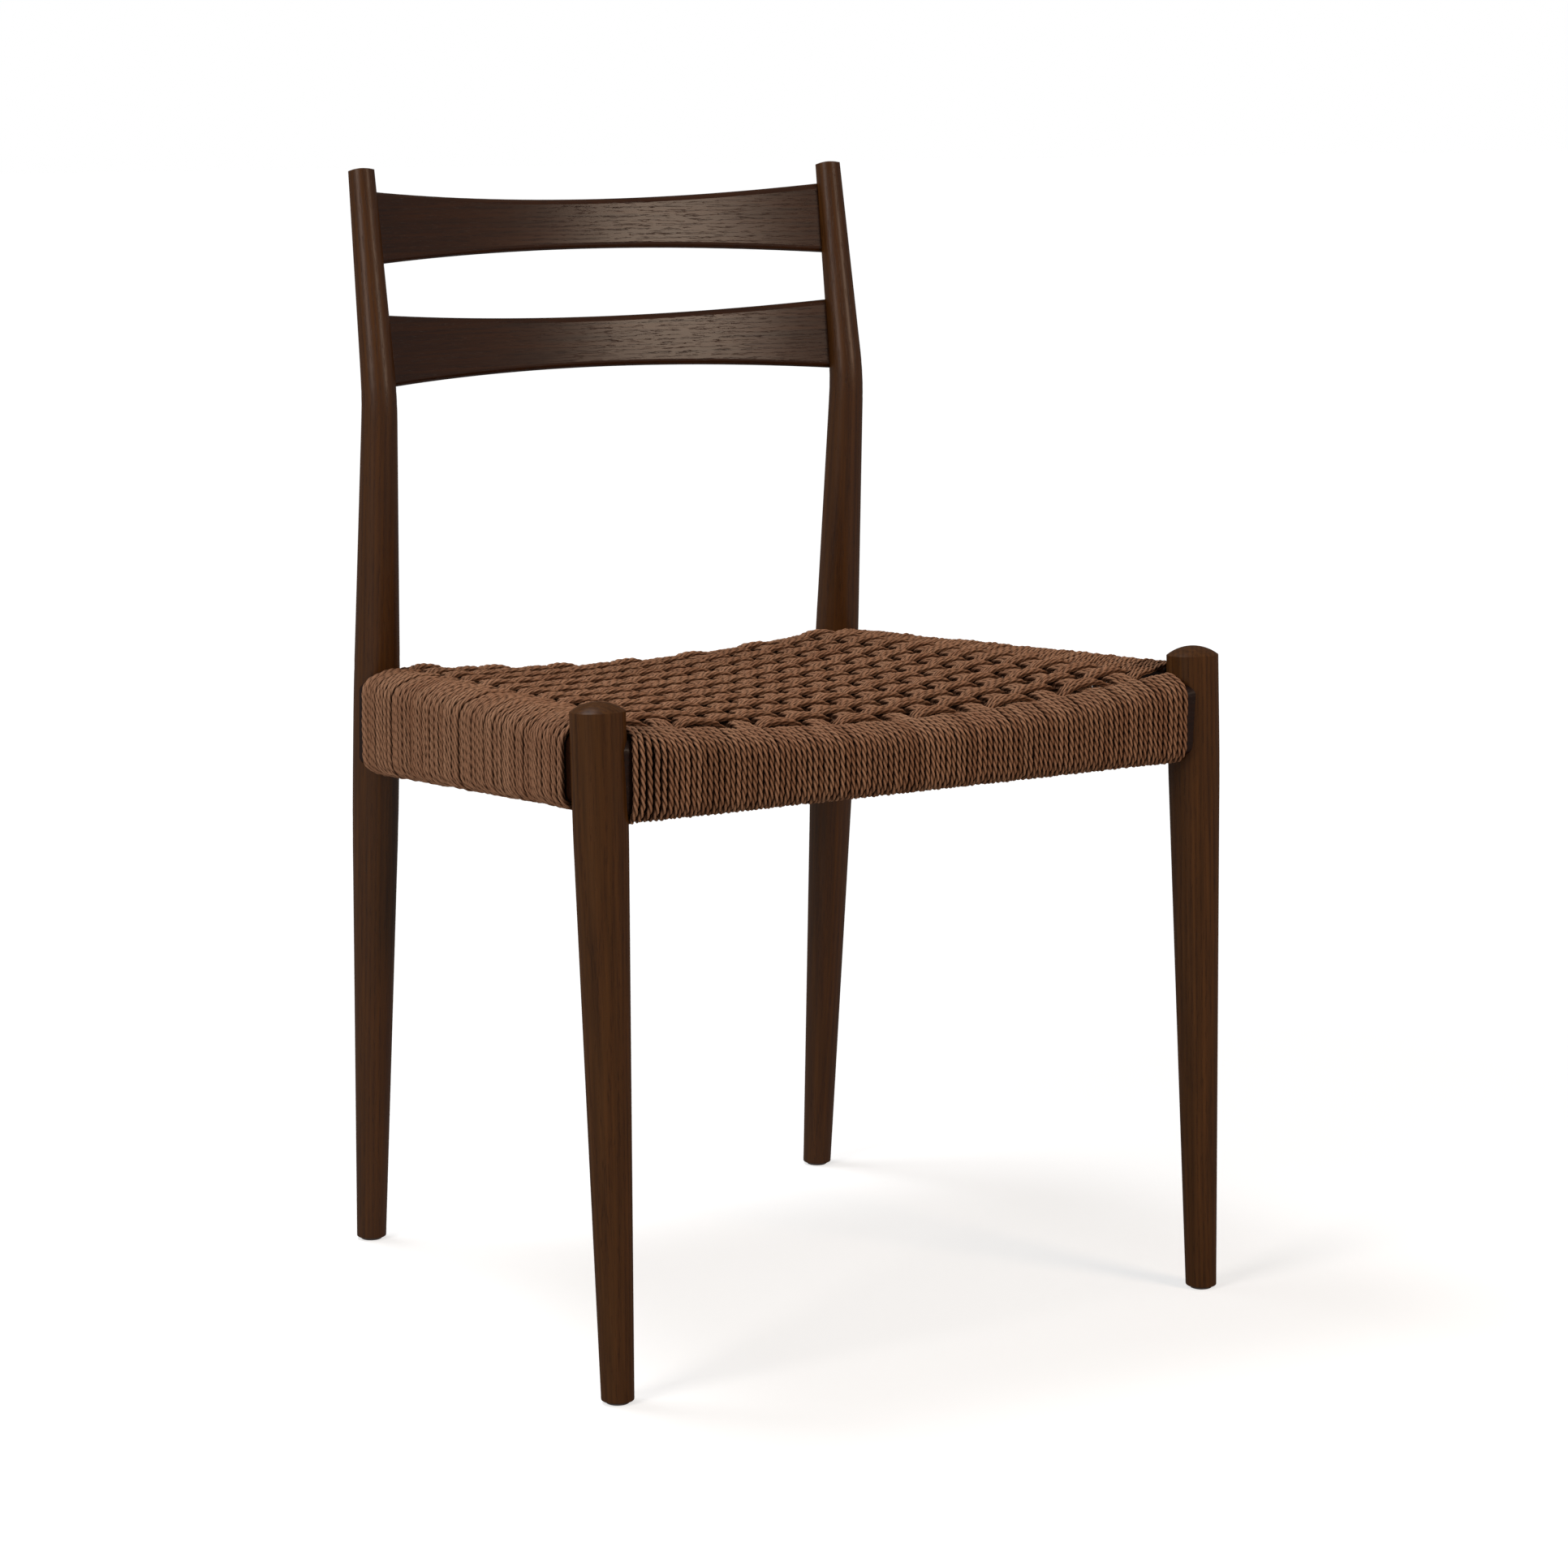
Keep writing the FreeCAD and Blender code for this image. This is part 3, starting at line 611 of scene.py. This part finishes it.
# The rails' darker stain paints the shade on their bare ends
ASH_RAILS_IN_SHADE = ("stained_ash_rails_painted_shade", RAIL_STAIN_AND_SHADE, LEG_SHEEN, FAINT_PORES, 120.0, None, 0.0)

# Plain finishes: material, colour, roughness and metallic
STEEL_WIRE = ("steel_wire", "#8f8a84", 0.35, 1.0)
BEECH = ("beech_of_dowels", "#b98a5c", 0.6, 0.0)
NYLON = ("nylon_of_glides", "#2b1b12", 0.5, 0.0)

# Paper cord
CORD_DARK = "#7e5a44"
CORD_PALE = "#9a745b"
# Painted shade: a dark colour laid where the painted light falls, in the grooves, towards neighbouring
# cords and where a cord dives
CORD_PAINTED_SHADE = "#1d0b05"
CORD_PATCH = "#7a503b"
CORD_FIBRE = "#a98468"
CORD_ROUGHNESS = 0.8
PATCH_SPOTS = ((35.71, 35.71, 35.71), 2.0, 0.5)
FIBRE_LENGTH = 3.846
FIBRE_WIDTH = 0.444
FIBRE_OCTAVES = (3.0, 0.6)
FIBRE_DEPTH = 0.4
FIBRE_BUMP = 0.4

# From a low to a high value of the pattern or painted light, how strongly a colour covers the cord; the
# last colour is painted shade
PATCH_COVER = (0.35, 0.65, 0.0, 0.3)
FIBRE_COVER = (0.4, 0.7, 0.0, 0.35)
PAINTED_SHADE_COVER = (0.0, 0.8, 0.93, 0.0)

made_materials = {}


def linear(colour):
    """A hex sRGB colour as linear light."""
    made = []
    for index in (1, 3, 5):
        value = int(colour[index:index + 2], 16) / 255
        made.append(value / 12.92 if value <= 0.04045 else ((value + 0.055) / 1.055) ** 2.4)
    return (*made, 1.0)


def new_material(name):
    """The material and its empty tree, or the one made before and no tree."""
    if name in made_materials:
        return made_materials[name], None
    material = bpy.data.materials.new(name)
    material.use_nodes = True
    material.node_tree.nodes.clear()
    made_materials[name] = material
    return material, material.node_tree


def add(tree, kind, inputs, output=0, **settings):
    """Adds a node with its settings and gives one output, or None where it has none. Inputs are keyed by
    name or number, and each is a value or another node's output."""
    node = tree.nodes.new("ShaderNode" + kind)
    for name, value in settings.items():
        setattr(node, name, value)
    for name, value in inputs.items():
        if isinstance(value, bpy.types.NodeSocket):
            tree.links.new(value, node.inputs[name])
        else:
            node.inputs[name].default_value = value
    return node.outputs[output] if node.outputs else None


def pattern(tree, place, sizes, detail, roughness):
    """Soft random spots from 0 to 1, of those sizes in millimetres along the three ways of the place."""
    scale = tuple(1 / (size * METRE) for size in sizes)
    spots = add(tree, "Mapping", {"Vector": place, "Scale": scale}, vector_type="POINT")
    return add(tree, "TexNoise", {"Vector": spots, "Scale": 1.0, "Detail": detail, "Roughness": roughness})


def layered(tree, colour, layers):
    """A colour with others laid over it in turn, each covering it by its own share."""
    base = linear(colour)
    for share, over in layers:
        inputs = {0: share, 6: base, 7: linear(over)}
        base = add(tree, "Mix", inputs, 2, data_type="RGBA", blend_type="MIX")
    return base


def straightened(tree, lean, bow):
    """The place on a piece as if it were straight: two ways across its grain, then along it. A leg or post
    leans by one slope below its bend and by another above it. A slat bows with the square of x."""
    x, y, z = add(tree, "SeparateXYZ", {0: add(tree, "TexCoord", {}, "Object")}, slice(0, 3))
    if lean is None:
        square = add(tree, "Math", {0: x, 1: x}, operation="MULTIPLY")
        return add(tree, "Math", {0: square, 1: bow, 2: y}, operation="MULTIPLY_ADD"), z, x
    bend, low_slope, high_slope = lean
    above = add(tree, "Math", {0: z, 1: bend}, operation="SUBTRACT")
    past_bend = add(tree, "Math", {0: above, 1: 0.0}, operation="MAXIMUM")
    kink = add(tree, "Math", {0: past_bend, 1: high_slope - low_slope}, operation="MULTIPLY")
    shift = add(tree, "Math", {0: above, 1: low_slope, 2: kink}, operation="MULTIPLY_ADD")
    return add(tree, "Math", {0: y, 1: shift}, operation="SUBTRACT"), x, z


def early_wood(tree, first, second, place, cut):
    """1 at the edge between two growth rings and 0 inside them. The rings are circles round the tree's
    heart, as far apart as the ring width, and a slow random pattern pushes them in and out."""
    back = (HEART_BACK + HEART_DRIFT_SHARE * cut) * METRE
    far_back = add(tree, "Math", {0: first, 1: back}, operation="ADD")
    far_aside = add(tree, "Math", {0: second, 1: HEART_ASIDE * METRE}, operation="ADD")
    from_heart = add(tree, "CombineXYZ", {0: far_back, 1: far_aside, 2: 0.0})
    reach = add(tree, "VectorMath", {0: from_heart}, "Value", operation="LENGTH")
    waves = pattern(tree, place, *RING_WANDER)
    ring = add(tree, "Math", {0: waves, 1: RING_STRAY * METRE, 2: reach}, operation="MULTIPLY_ADD")
    count = add(tree, "Math", {0: ring, 1: RING_WIDTH * METRE}, operation="DIVIDE")
    phase = add(tree, "Math", {0: count}, operation="FRACT")
    off_middle = add(tree, "Math", {0: phase, 1: 0.5}, operation="SUBTRACT")
    edge = add(tree, "Math", {0: off_middle}, operation="ABSOLUTE")
    low, high = EARLY_WOOD_SHARES
    return add(tree, "MapRange", {0: edge, 1: low, 2: high, 3: 0.0, 4: 1.0}, clamp=True)


def open_pores(tree, place, early):
    """1 in a pore and 0 beside it. Pores are more frequent in the early wood of each ring."""
    fine = pattern(tree, place, *PORE_SPOTS)
    late_limit, early_limit = PORE_LIMITS
    fall = early_limit - late_limit
    limit = add(tree, "Math", {0: early, 1: fall, 2: late_limit}, operation="MULTIPLY_ADD")
    past = add(tree, "Math", {0: fine, 1: limit}, operation="SUBTRACT")
    return add(tree, "MapRange", {0: past, 1: 0.0, 2: PORE_EDGE, 3: 0.0, 4: 1.0}, clamp=True)


def stained_ash(name, stain, sheen, porous, cut, lean, bow):
    """Ash under a dark walnut stain and satin oil: the open pores hold the stain as fine dark dashes,
    in bands that follow the growth rings, and the light soaks orange-brown between them. The cut is
    where in the plank a piece comes from, in millimetres, so that no two kinds have the same grain."""
    material, tree = new_material(name)
    if tree is None:
        return material
    first, second, run = straightened(tree, lean, bow)
    moved = add(tree, "Math", {0: first, 1: cut * METRE}, operation="ADD")
    place = add(tree, "CombineXYZ", {0: moved, 1: second, 2: run})
    early = early_wood(tree, first, second, place, cut)
    pore = open_pores(tree, place, early)
    streaks = pattern(tree, place, *STREAK_SPOTS)
    low, high = STREAK_RANGE
    tone = add(tree, "MapRange", {0: streaks, 1: low, 2: high, 3: 0.0, 4: 1.0}, clamp=True)
    darkened = add(tree, "Math", {0: early, 1: EARLY_STRENGTH}, operation="MULTIPLY")
    filled = add(tree, "Math", {0: pore, 1: porous}, operation="MULTIPLY")
    base = layered(tree, stain[0], ((tone, stain[1]), (darkened, EARLY_COLOUR), (filled, PORE_COLOUR)))
    hollow = add(tree, "Math", {0: pore, 1: -1.0}, operation="MULTIPLY")
    bump = add(tree, "Bump", {"Height": hollow, "Strength": PORE_BUMP, "Distance": PORE_DEPTH * METRE})
    wood = {"Base Color": base, "Roughness": WOOD_ROUGHNESS, "Normal": bump, "Specular IOR Level": 0.0}
    oil = {"Coat Weight": sheen[0], "Coat Roughness": sheen[1], "Coat IOR": OIL_IOR, "Coat Normal": bump}
    add(tree, "OutputMaterial", {"Surface": add(tree, "BsdfPrincipled", wood | oil)})
    return material


def cord_material():
    """Brown twisted paper cord: matt, slightly fibrous, and never quite one tone from length to length,
    with painted shade, darker and redder, in the grooves between its strands and where it lies against
    or under other cords. Real fibres are finer than the render can show, so these are drawn 0.4 mm wide.
    The cord's own map counts metres along it and turns round it, so the fibres' width is given to it in
    turns."""
    material, tree = new_material("twisted_paper_cord")
    if tree is None:
        return material
    tone = add(tree, "Attribute", {}, "Fac", attribute_name="tone")
    light = add(tree, "Attribute", {}, "Fac", attribute_name="light")
    place = add(tree, "UVMap", {}, uv_map="along_cord")
    turn = 2 * math.pi * CORD_RADIUS * METRE
    fibre = pattern(tree, place, (FIBRE_LENGTH, FIBRE_WIDTH / turn, 1.0), *FIBRE_OCTAVES)
    patches = pattern(tree, add(tree, "TexCoord", {}, "Object"), *PATCH_SPOTS)
    layers = [(tone, CORD_PALE)]
    # The last cover is painted shade, laid where the cord's painted light attribute falls
    covers = ((patches, PATCH_COVER, CORD_PATCH),
              (fibre, FIBRE_COVER, CORD_FIBRE),
              (light, PAINTED_SHADE_COVER, CORD_PAINTED_SHADE))
    for value, (low, high, at_low, at_high), colour in covers:
        limits = {0: value, 1: low, 2: high, 3: at_low, 4: at_high}
        layers.append((add(tree, "MapRange", limits, clamp=True), colour))
    base = layered(tree, CORD_DARK, layers)
    bump = add(tree, "Bump", {"Height": fibre, "Strength": FIBRE_BUMP, "Distance": FIBRE_DEPTH * METRE})
    paper = {"Base Color": base, "Roughness": CORD_ROUGHNESS, "Normal": bump, "Specular IOR Level": 0.0}
    add(tree, "OutputMaterial", {"Surface": add(tree, "BsdfPrincipled", paper)})
    return material


def plain(name, colour, roughness, metallic):
    """One even colour: bright grey for drawn steel wire, matt and pale for beech, dull brown for nylon."""
    material, tree = new_material(name)
    if tree is not None:
        even = {"Base Color": linear(colour), "Roughness": roughness, "Metallic": metallic}
        add(tree, "OutputMaterial", {"Surface": add(tree, "BsdfPrincipled", even)})
    return material


def finish_of(name):
    """The finish of one of the frame's own nodes, by the node's name."""
    if name.endswith("nails"):
        return plain(*STEEL_WIRE)
    if name.endswith("dowels"):
        return plain(*BEECH)
    if name.startswith("foot_glide"):
        return plain(*NYLON)
    for start, settings in ASH_PIECES.items():
        if name.startswith(start):
            return stained_ash(*settings)
    return stained_ash(*ASH_RAILS_IN_SHADE)


# Cords of the seat

def weft():
    """The cords from side to side: hooked under the left rail, over it, across the seat and round the
    right one. On the seat they are straight in plan, at the seat's height less a squared-up wave over
    and under the warp groups. Each row is pinched where it passes from over to under."""
    count = WEFT_ROWS * GROUP_CORDS
    pitch = (left_rail.last - left_rail.first) / count
    even = left_rail.first + (np.arange(count) + 0.5) * pitch
    pair = paired(even)
    hooked = []
    for rail in (left_rail, right_rail):
        along = mix(even, pair, WEFT_PAIRED_SHARE) + twice(jitter(count // 2, PAIR_STRAY))
        along = along + jitter(count, CORD_STRAY)
        grow = CORD_REST + twice(rng.uniform(*PAIR_LIFT, count // 2))
        grow = grow + rng.uniform(*WEFT_LIFT, count)
        hooked.append(hooks(rail, along, pair, grow))
    start = hooked[0][:, -1]
    end = hooked[1][:, -1]
    share = np.linspace(0, 1, WEFT_POINTS)
    x = mix(start[:, :1], end[:, :1], share)
    reach = np.minimum(x - start[:, :1], end[:, :1] - x)
    row = np.repeat(np.arange(WEFT_ROWS), GROUP_CORDS)[:, None]
    in_row = in_group(WEFT_ROWS)
    across = x / (warp_reach(ROW_PLACES[row]) / LAST_GROUP)
    wave = alternating(across + row, WEFT_STEEPNESS)
    fade = beside_warp(np.abs(across))
    pinch = ROW_PINCH_SHARE * (1 - wave ** 2) * fade
    spread = ROW_PITCH / GROUP_CORDS * (ROW_SPREAD_SHARE - pinch)
    y_mid = ROW_PLACES[row] + in_row * spread + jitter((count, 1), CORD_STRAY)
    inward = smooth(0, WEFT_GATHER, reach)
    y = mix(mix(start[:, 1:2], end[:, 1:2], share), y_mid, inward)
    z = seat_height(x, y) - WEFT_RISE * wave * fade
    z = z + ROW_CROWN * (ROW_CROWN_REACH - np.abs(in_row)) * inward
    z = joined(z, start, end, share, 1 - smooth(0, WEFT_SETTLE, reach))
    return hooked[0], np.stack([x, y, z], axis=-1), hooked[1][:, ::-1]


def warp():
    """The groups from front to back, over one row and under the next: straight in plan between the two
    rails and squeezed together on the seat, at the seat's height plus a squared-up wave."""
    front_groups, front_runs = warp_layout(front_rail, *FRONT_WRAPS)
    rear_groups, rear_runs = warp_layout(rear_rail, *REAR_WRAPS)
    count = WARP_GROUPS * GROUP_CORDS
    hooked = []
    for rail, groups in ((front_rail, front_groups), (rear_rail, rear_groups)):
        grow = CORD_REST + rng.uniform(*TURN_LIFT, count)
        along = groups.ravel() + jitter(count, CORD_STRAY)
        hooked.append(hooks(rail, along, paired(groups.ravel()), grow))
    start = hooked[0][:, -1]
    end = hooked[1][:, -1]
    share = np.linspace(0, 1, WARP_POINTS)
    y = mix(start[:, 1:2], end[:, 1:2], share)
    reach = np.minimum(y - start[:, 1:2], end[:, 1:2] - y)
    group = np.repeat(np.arange(WARP_GROUPS), GROUP_CORDS)[:, None]
    in_warp = in_group(WARP_GROUPS)
    front_x = (front_groups.mean(axis=1) - front_rail.length / 2)[group]
    rear_x = (rear_groups.mean(axis=1) - rear_rail.length / 2)[group]
    wave = alternating((y - ROW_PLACES[0]) / ROW_PITCH + group, WARP_STEEPNESS)
    squeezed = in_warp * WARP_SQUEEZE * (1 + WARP_SWELL_SHARE * wave)
    x_mid = mix(front_x, rear_x, share) + squeezed + jitter((count, 1), WARP_STRAY)
    gather = inside(y, start[:, 1:2], end[:, 1:2], *WARP_GATHER)
    x = mix(mix(start[:, :1], end[:, :1], share), x_mid, gather)
    z = joined(seat_height(x, y), start, end, share, 1 - smooth(0, WARP_SETTLE, reach))
    crown = (WARP_CROWN + WARP_CROWN_SWING * wave) * (LAST_IN_GROUP - np.abs(in_warp))
    lead = inside(y, start[:, 1:2], end[:, 1:2], *WARP_LEAD)
    z = z + (WARP_RISE * wave + crown - WARP_DROP) * lead
    return hooked[0], np.stack([x, y, z], axis=-1), hooked[1][:, ::-1], front_runs, rear_runs


def cord_runs(parts, reference, phase, thickness):
    """Joins the parts of each cord for one even twist, then parts the rings again at the crests."""
    evened = [arranged(part) for part in parts]
    lines = [evened[0]] + [part[:, 1:] for part in evened[1:]]
    ends = np.cumsum([0] + [line.shape[1] for line in lines])
    whole = wandered(eased(np.concatenate(lines, axis=1)), reference)
    rings, far, light = rope(whole, reference, phase, thickness)
    cut = []
    for index in range(len(lines)):
        span = slice(max(ends[index] - 1, 0), ends[index + 1])
        cut.append([rings[:, span], far[:, span], light[:, span]])
    return cut


def sunk_painted_shade(rings, far, light):
    """Paints shade by dimming the painted light where a cord of the weave dives between others, near the
    seat's mean surface.
    """
    x, y, z = rings[..., 0], rings[..., 1], rings[..., 2]
    woven = 1 - smooth(*WOVEN_SIDE_SHARES, np.abs(x) / warp_reach(y))
    woven = woven * inside(y, WEAVE_FRONT, WEAVE_REAR, *WOVEN_END)
    clear = smooth(*SUNK_REACH, np.abs(z - seat_height(x, y)))
    return [rings, far, light * mix(1, clear, woven)]


def turned(rail, runs):
    """The turns between the groups, as batches of closed coils. A single turn has no neighbours to take
    its pitch from, so it has the cord's own."""
    batches = []
    for run in runs:
        pitch = np.full(1, CORD_PITCH) if len(run) == 1 else np.gradient(run)
        lift = np.zeros(1) if len(run) == 1 else rng.uniform(*TURN_LIFT, len(run))
        paths = arranged(coils(rail, run, CORD_REST + lift, pitch))
        paths = wandered(eased(paths), rail.along)
        rings, far, light = rope(paths, rail.along, rng.uniform(0, 2 * math.pi, len(paths)))
        batches.append((rings, far, light, rng.uniform(0, 1, len(paths))))
    return batches


def make_cords():
    """The weft in five pieces and the warp in four, so that no mesh grows too large."""
    count = WEFT_ROWS * GROUP_CORDS
    parts = weft()
    phase = rng.uniform(0, 2 * math.pi, count)
    left, seat, right = cord_runs(parts, FRONT_TO_BACK, phase, WEFT_THICKNESS_SHARE)
    # Painted shade where the weft's cords dive between the warp's
    seat = sunk_painted_shade(*seat)
    tone = rng.uniform(0, 1, count)
    cord_piece("side_rail_cords_left", [(*left, tone)], "side_rail_cord_left")
    cord_piece("side_rail_cords_right", [(*right, tone)], "side_rail_cord_right")
    third = count // 3
    for index, label in enumerate(("front", "middle", "rear")):
        rows = slice(index * third, (index + 1) * third)
        batch = (*(part[rows] for part in seat), tone[rows])
        cord_piece("seat_weft_" + label, [batch], "seat_weft_cords")
    count = WARP_GROUPS * GROUP_CORDS
    *parts, front_runs, rear_runs = warp()
    phase = rng.uniform(0, 2 * math.pi, count)
    front, seat, rear = cord_runs(parts, SIDE_TO_SIDE, phase, WARP_THICKNESS_SHARE)
    # Painted shade where the warp's cords dive between the weft's
    seat = sunk_painted_shade(*seat)
    tone = rng.uniform(0, 1, count)
    half = count // 2
    for label, cords in (("left", slice(0, half)), ("right", slice(half, count))):
        batch = (*(part[cords] for part in seat), tone[cords])
        cord_piece("seat_warp_" + label, [batch], "seat_warp_cords")
    cord_piece("front_rail_cords", [(*front, tone)] + turned(front_rail, front_runs), "front_rail_cord")
    cord_piece("rear_rail_cords", [(*rear, tone)] + turned(rear_rail, rear_runs), "rear_rail_cord")


make_cords()

for name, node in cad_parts.items():
    if not node.hide_render:
        node.data.materials.clear()
        node.data.materials.append(finish_of(name))


# Stage, with its places and sizes in metres

FLOOR_HALF = 30.0
PAPER_GREY = 0.5
GLOW_REACH = (0.6, 3.2)
GLOW_LEVELS = (0.66, 0.97)
SOFT_LIGHT = 0.12
WHITE = (1.0, 1.0, 1.0, 1.0)

# Camera, solved on the photograph: place, lens and sensor in millimetres, angles in degrees
CAMERA_PLACE = (-1598.0, -2526.8, 876.0)
CAMERA_AZIMUTH = -32.8
CAMERA_ELEVATION = 9.76
CAMERA_LENS = 95.85
CAMERA_SENSOR = 36.0
CAMERA_NEAR = 0.05
CAMERA_FAR = 100.0

# Lamps: place, aim, width, height, power and colour
SOFT_BOXES = {
    "left_soft_box": ((-2.6, -0.75, 1.6), (0.0, 0.0, 0.6), 1.1, 1.4, 47.0, (1.0, 0.94, 0.89)),
    "front_soft_box": ((1.12, -2.48, 1.37), (0.0, 0.2, 0.7), 0.8, 0.28, 37.0, (1.0, 0.79, 0.61)),
    "top_soft_box": ((-0.5, 0.7, 2.6), (0.0, 0.0, 0.45), 0.9, 0.9, 37.0, (0.97, 1.0, 1.04)),
}


def seen(tree):
    """1 where the ray comes from the camera or from a reflection or through glass, else 0."""
    from_camera = add(tree, "LightPath", {}, "Is Camera Ray")
    glossy = add(tree, "LightPath", {}, "Is Glossy Ray")
    through = add(tree, "LightPath", {}, "Is Transmission Ray")
    bent = add(tree, "Math", {0: glossy, 1: through}, operation="MAXIMUM")
    return add(tree, "Math", {0: from_camera, 1: bent}, operation="MAXIMUM")


def floor():
    """Pale paper. What the camera sees is topped up to white, and the chair's shadow stays on it."""
    mesh = bpy.data.meshes.new("floor")
    corners = [(x * FLOOR_HALF, y * FLOOR_HALF, 0) for x, y in ((-1, -1), (1, -1), (1, 1), (-1, 1))]
    mesh.from_pydata(corners, [], [(0, 1, 2, 3)])
    piece = bpy.data.objects.new("floor", mesh)
    bpy.context.scene.collection.objects.link(piece)
    material, tree = new_material("studio_paper")
    diffuse = add(tree, "BsdfDiffuse", {"Color": (PAPER_GREY, PAPER_GREY, PAPER_GREY, 1.0)})
    away = add(tree, "VectorMath", {0: add(tree, "TexCoord", {}, "Object")}, "Value", operation="LENGTH")
    near, far = GLOW_REACH
    dim, bright = GLOW_LEVELS
    level = add(tree, "MapRange", {0: away, 1: near, 2: far, 3: dim, 4: bright}, clamp=True)
    strength = add(tree, "Math", {0: seen(tree), 1: level}, operation="MULTIPLY")
    glow = add(tree, "Emission", {"Color": WHITE, "Strength": strength})
    add(tree, "OutputMaterial", {"Surface": add(tree, "AddShader", {0: diffuse, 1: glow})})
    mesh.materials.append(material)


def backdrop():
    """White behind the object, and a softer white for the light it gives."""
    world = bpy.data.worlds.new("studio")
    bpy.context.scene.world = world
    world.use_nodes = True
    tree = world.node_tree
    tree.nodes.clear()
    strength = add(tree, "MapRange", {0: seen(tree), 1: 0.0, 2: 1.0, 3: SOFT_LIGHT, 4: 1.0}, clamp=True)
    add(tree, "OutputWorld", {"Surface": add(tree, "Background", {"Color": WHITE, "Strength": strength})})


def soft_box(name, place, aim, width, height, power, colour):
    light = bpy.data.lights.new(name, "AREA")
    light.color = colour
    light.shape = "RECTANGLE"
    light.size = width
    light.size_y = height
    light.energy = power
    piece = bpy.data.objects.new(name, light)
    piece.location = place
    piece.rotation_euler = (Vector(aim) - Vector(place)).to_track_quat("-Z", "Y").to_euler()
    bpy.context.scene.collection.objects.link(piece)


def camera():
    azimuth = math.radians(CAMERA_AZIMUTH)
    elevation = math.radians(CAMERA_ELEVATION)
    level = math.cos(elevation)
    back = Vector((math.sin(azimuth) * level, -math.cos(azimuth) * level, math.sin(elevation)))
    data = bpy.data.cameras.new("camera")
    data.lens = CAMERA_LENS
    data.sensor_width = CAMERA_SENSOR
    data.clip_start = CAMERA_NEAR
    data.clip_end = CAMERA_FAR
    piece = bpy.data.objects.new("camera", data)
    piece.location = Vector(CAMERA_PLACE) * METRE
    piece.rotation_euler = back.to_track_quat("Z", "Y").to_euler()
    bpy.context.scene.collection.objects.link(piece)
    bpy.context.scene.camera = piece


floor()
backdrop()
for name, settings in SOFT_BOXES.items():
    soft_box(name, *settings)
camera()
bpy.context.scene.view_settings.view_transform = "Standard"
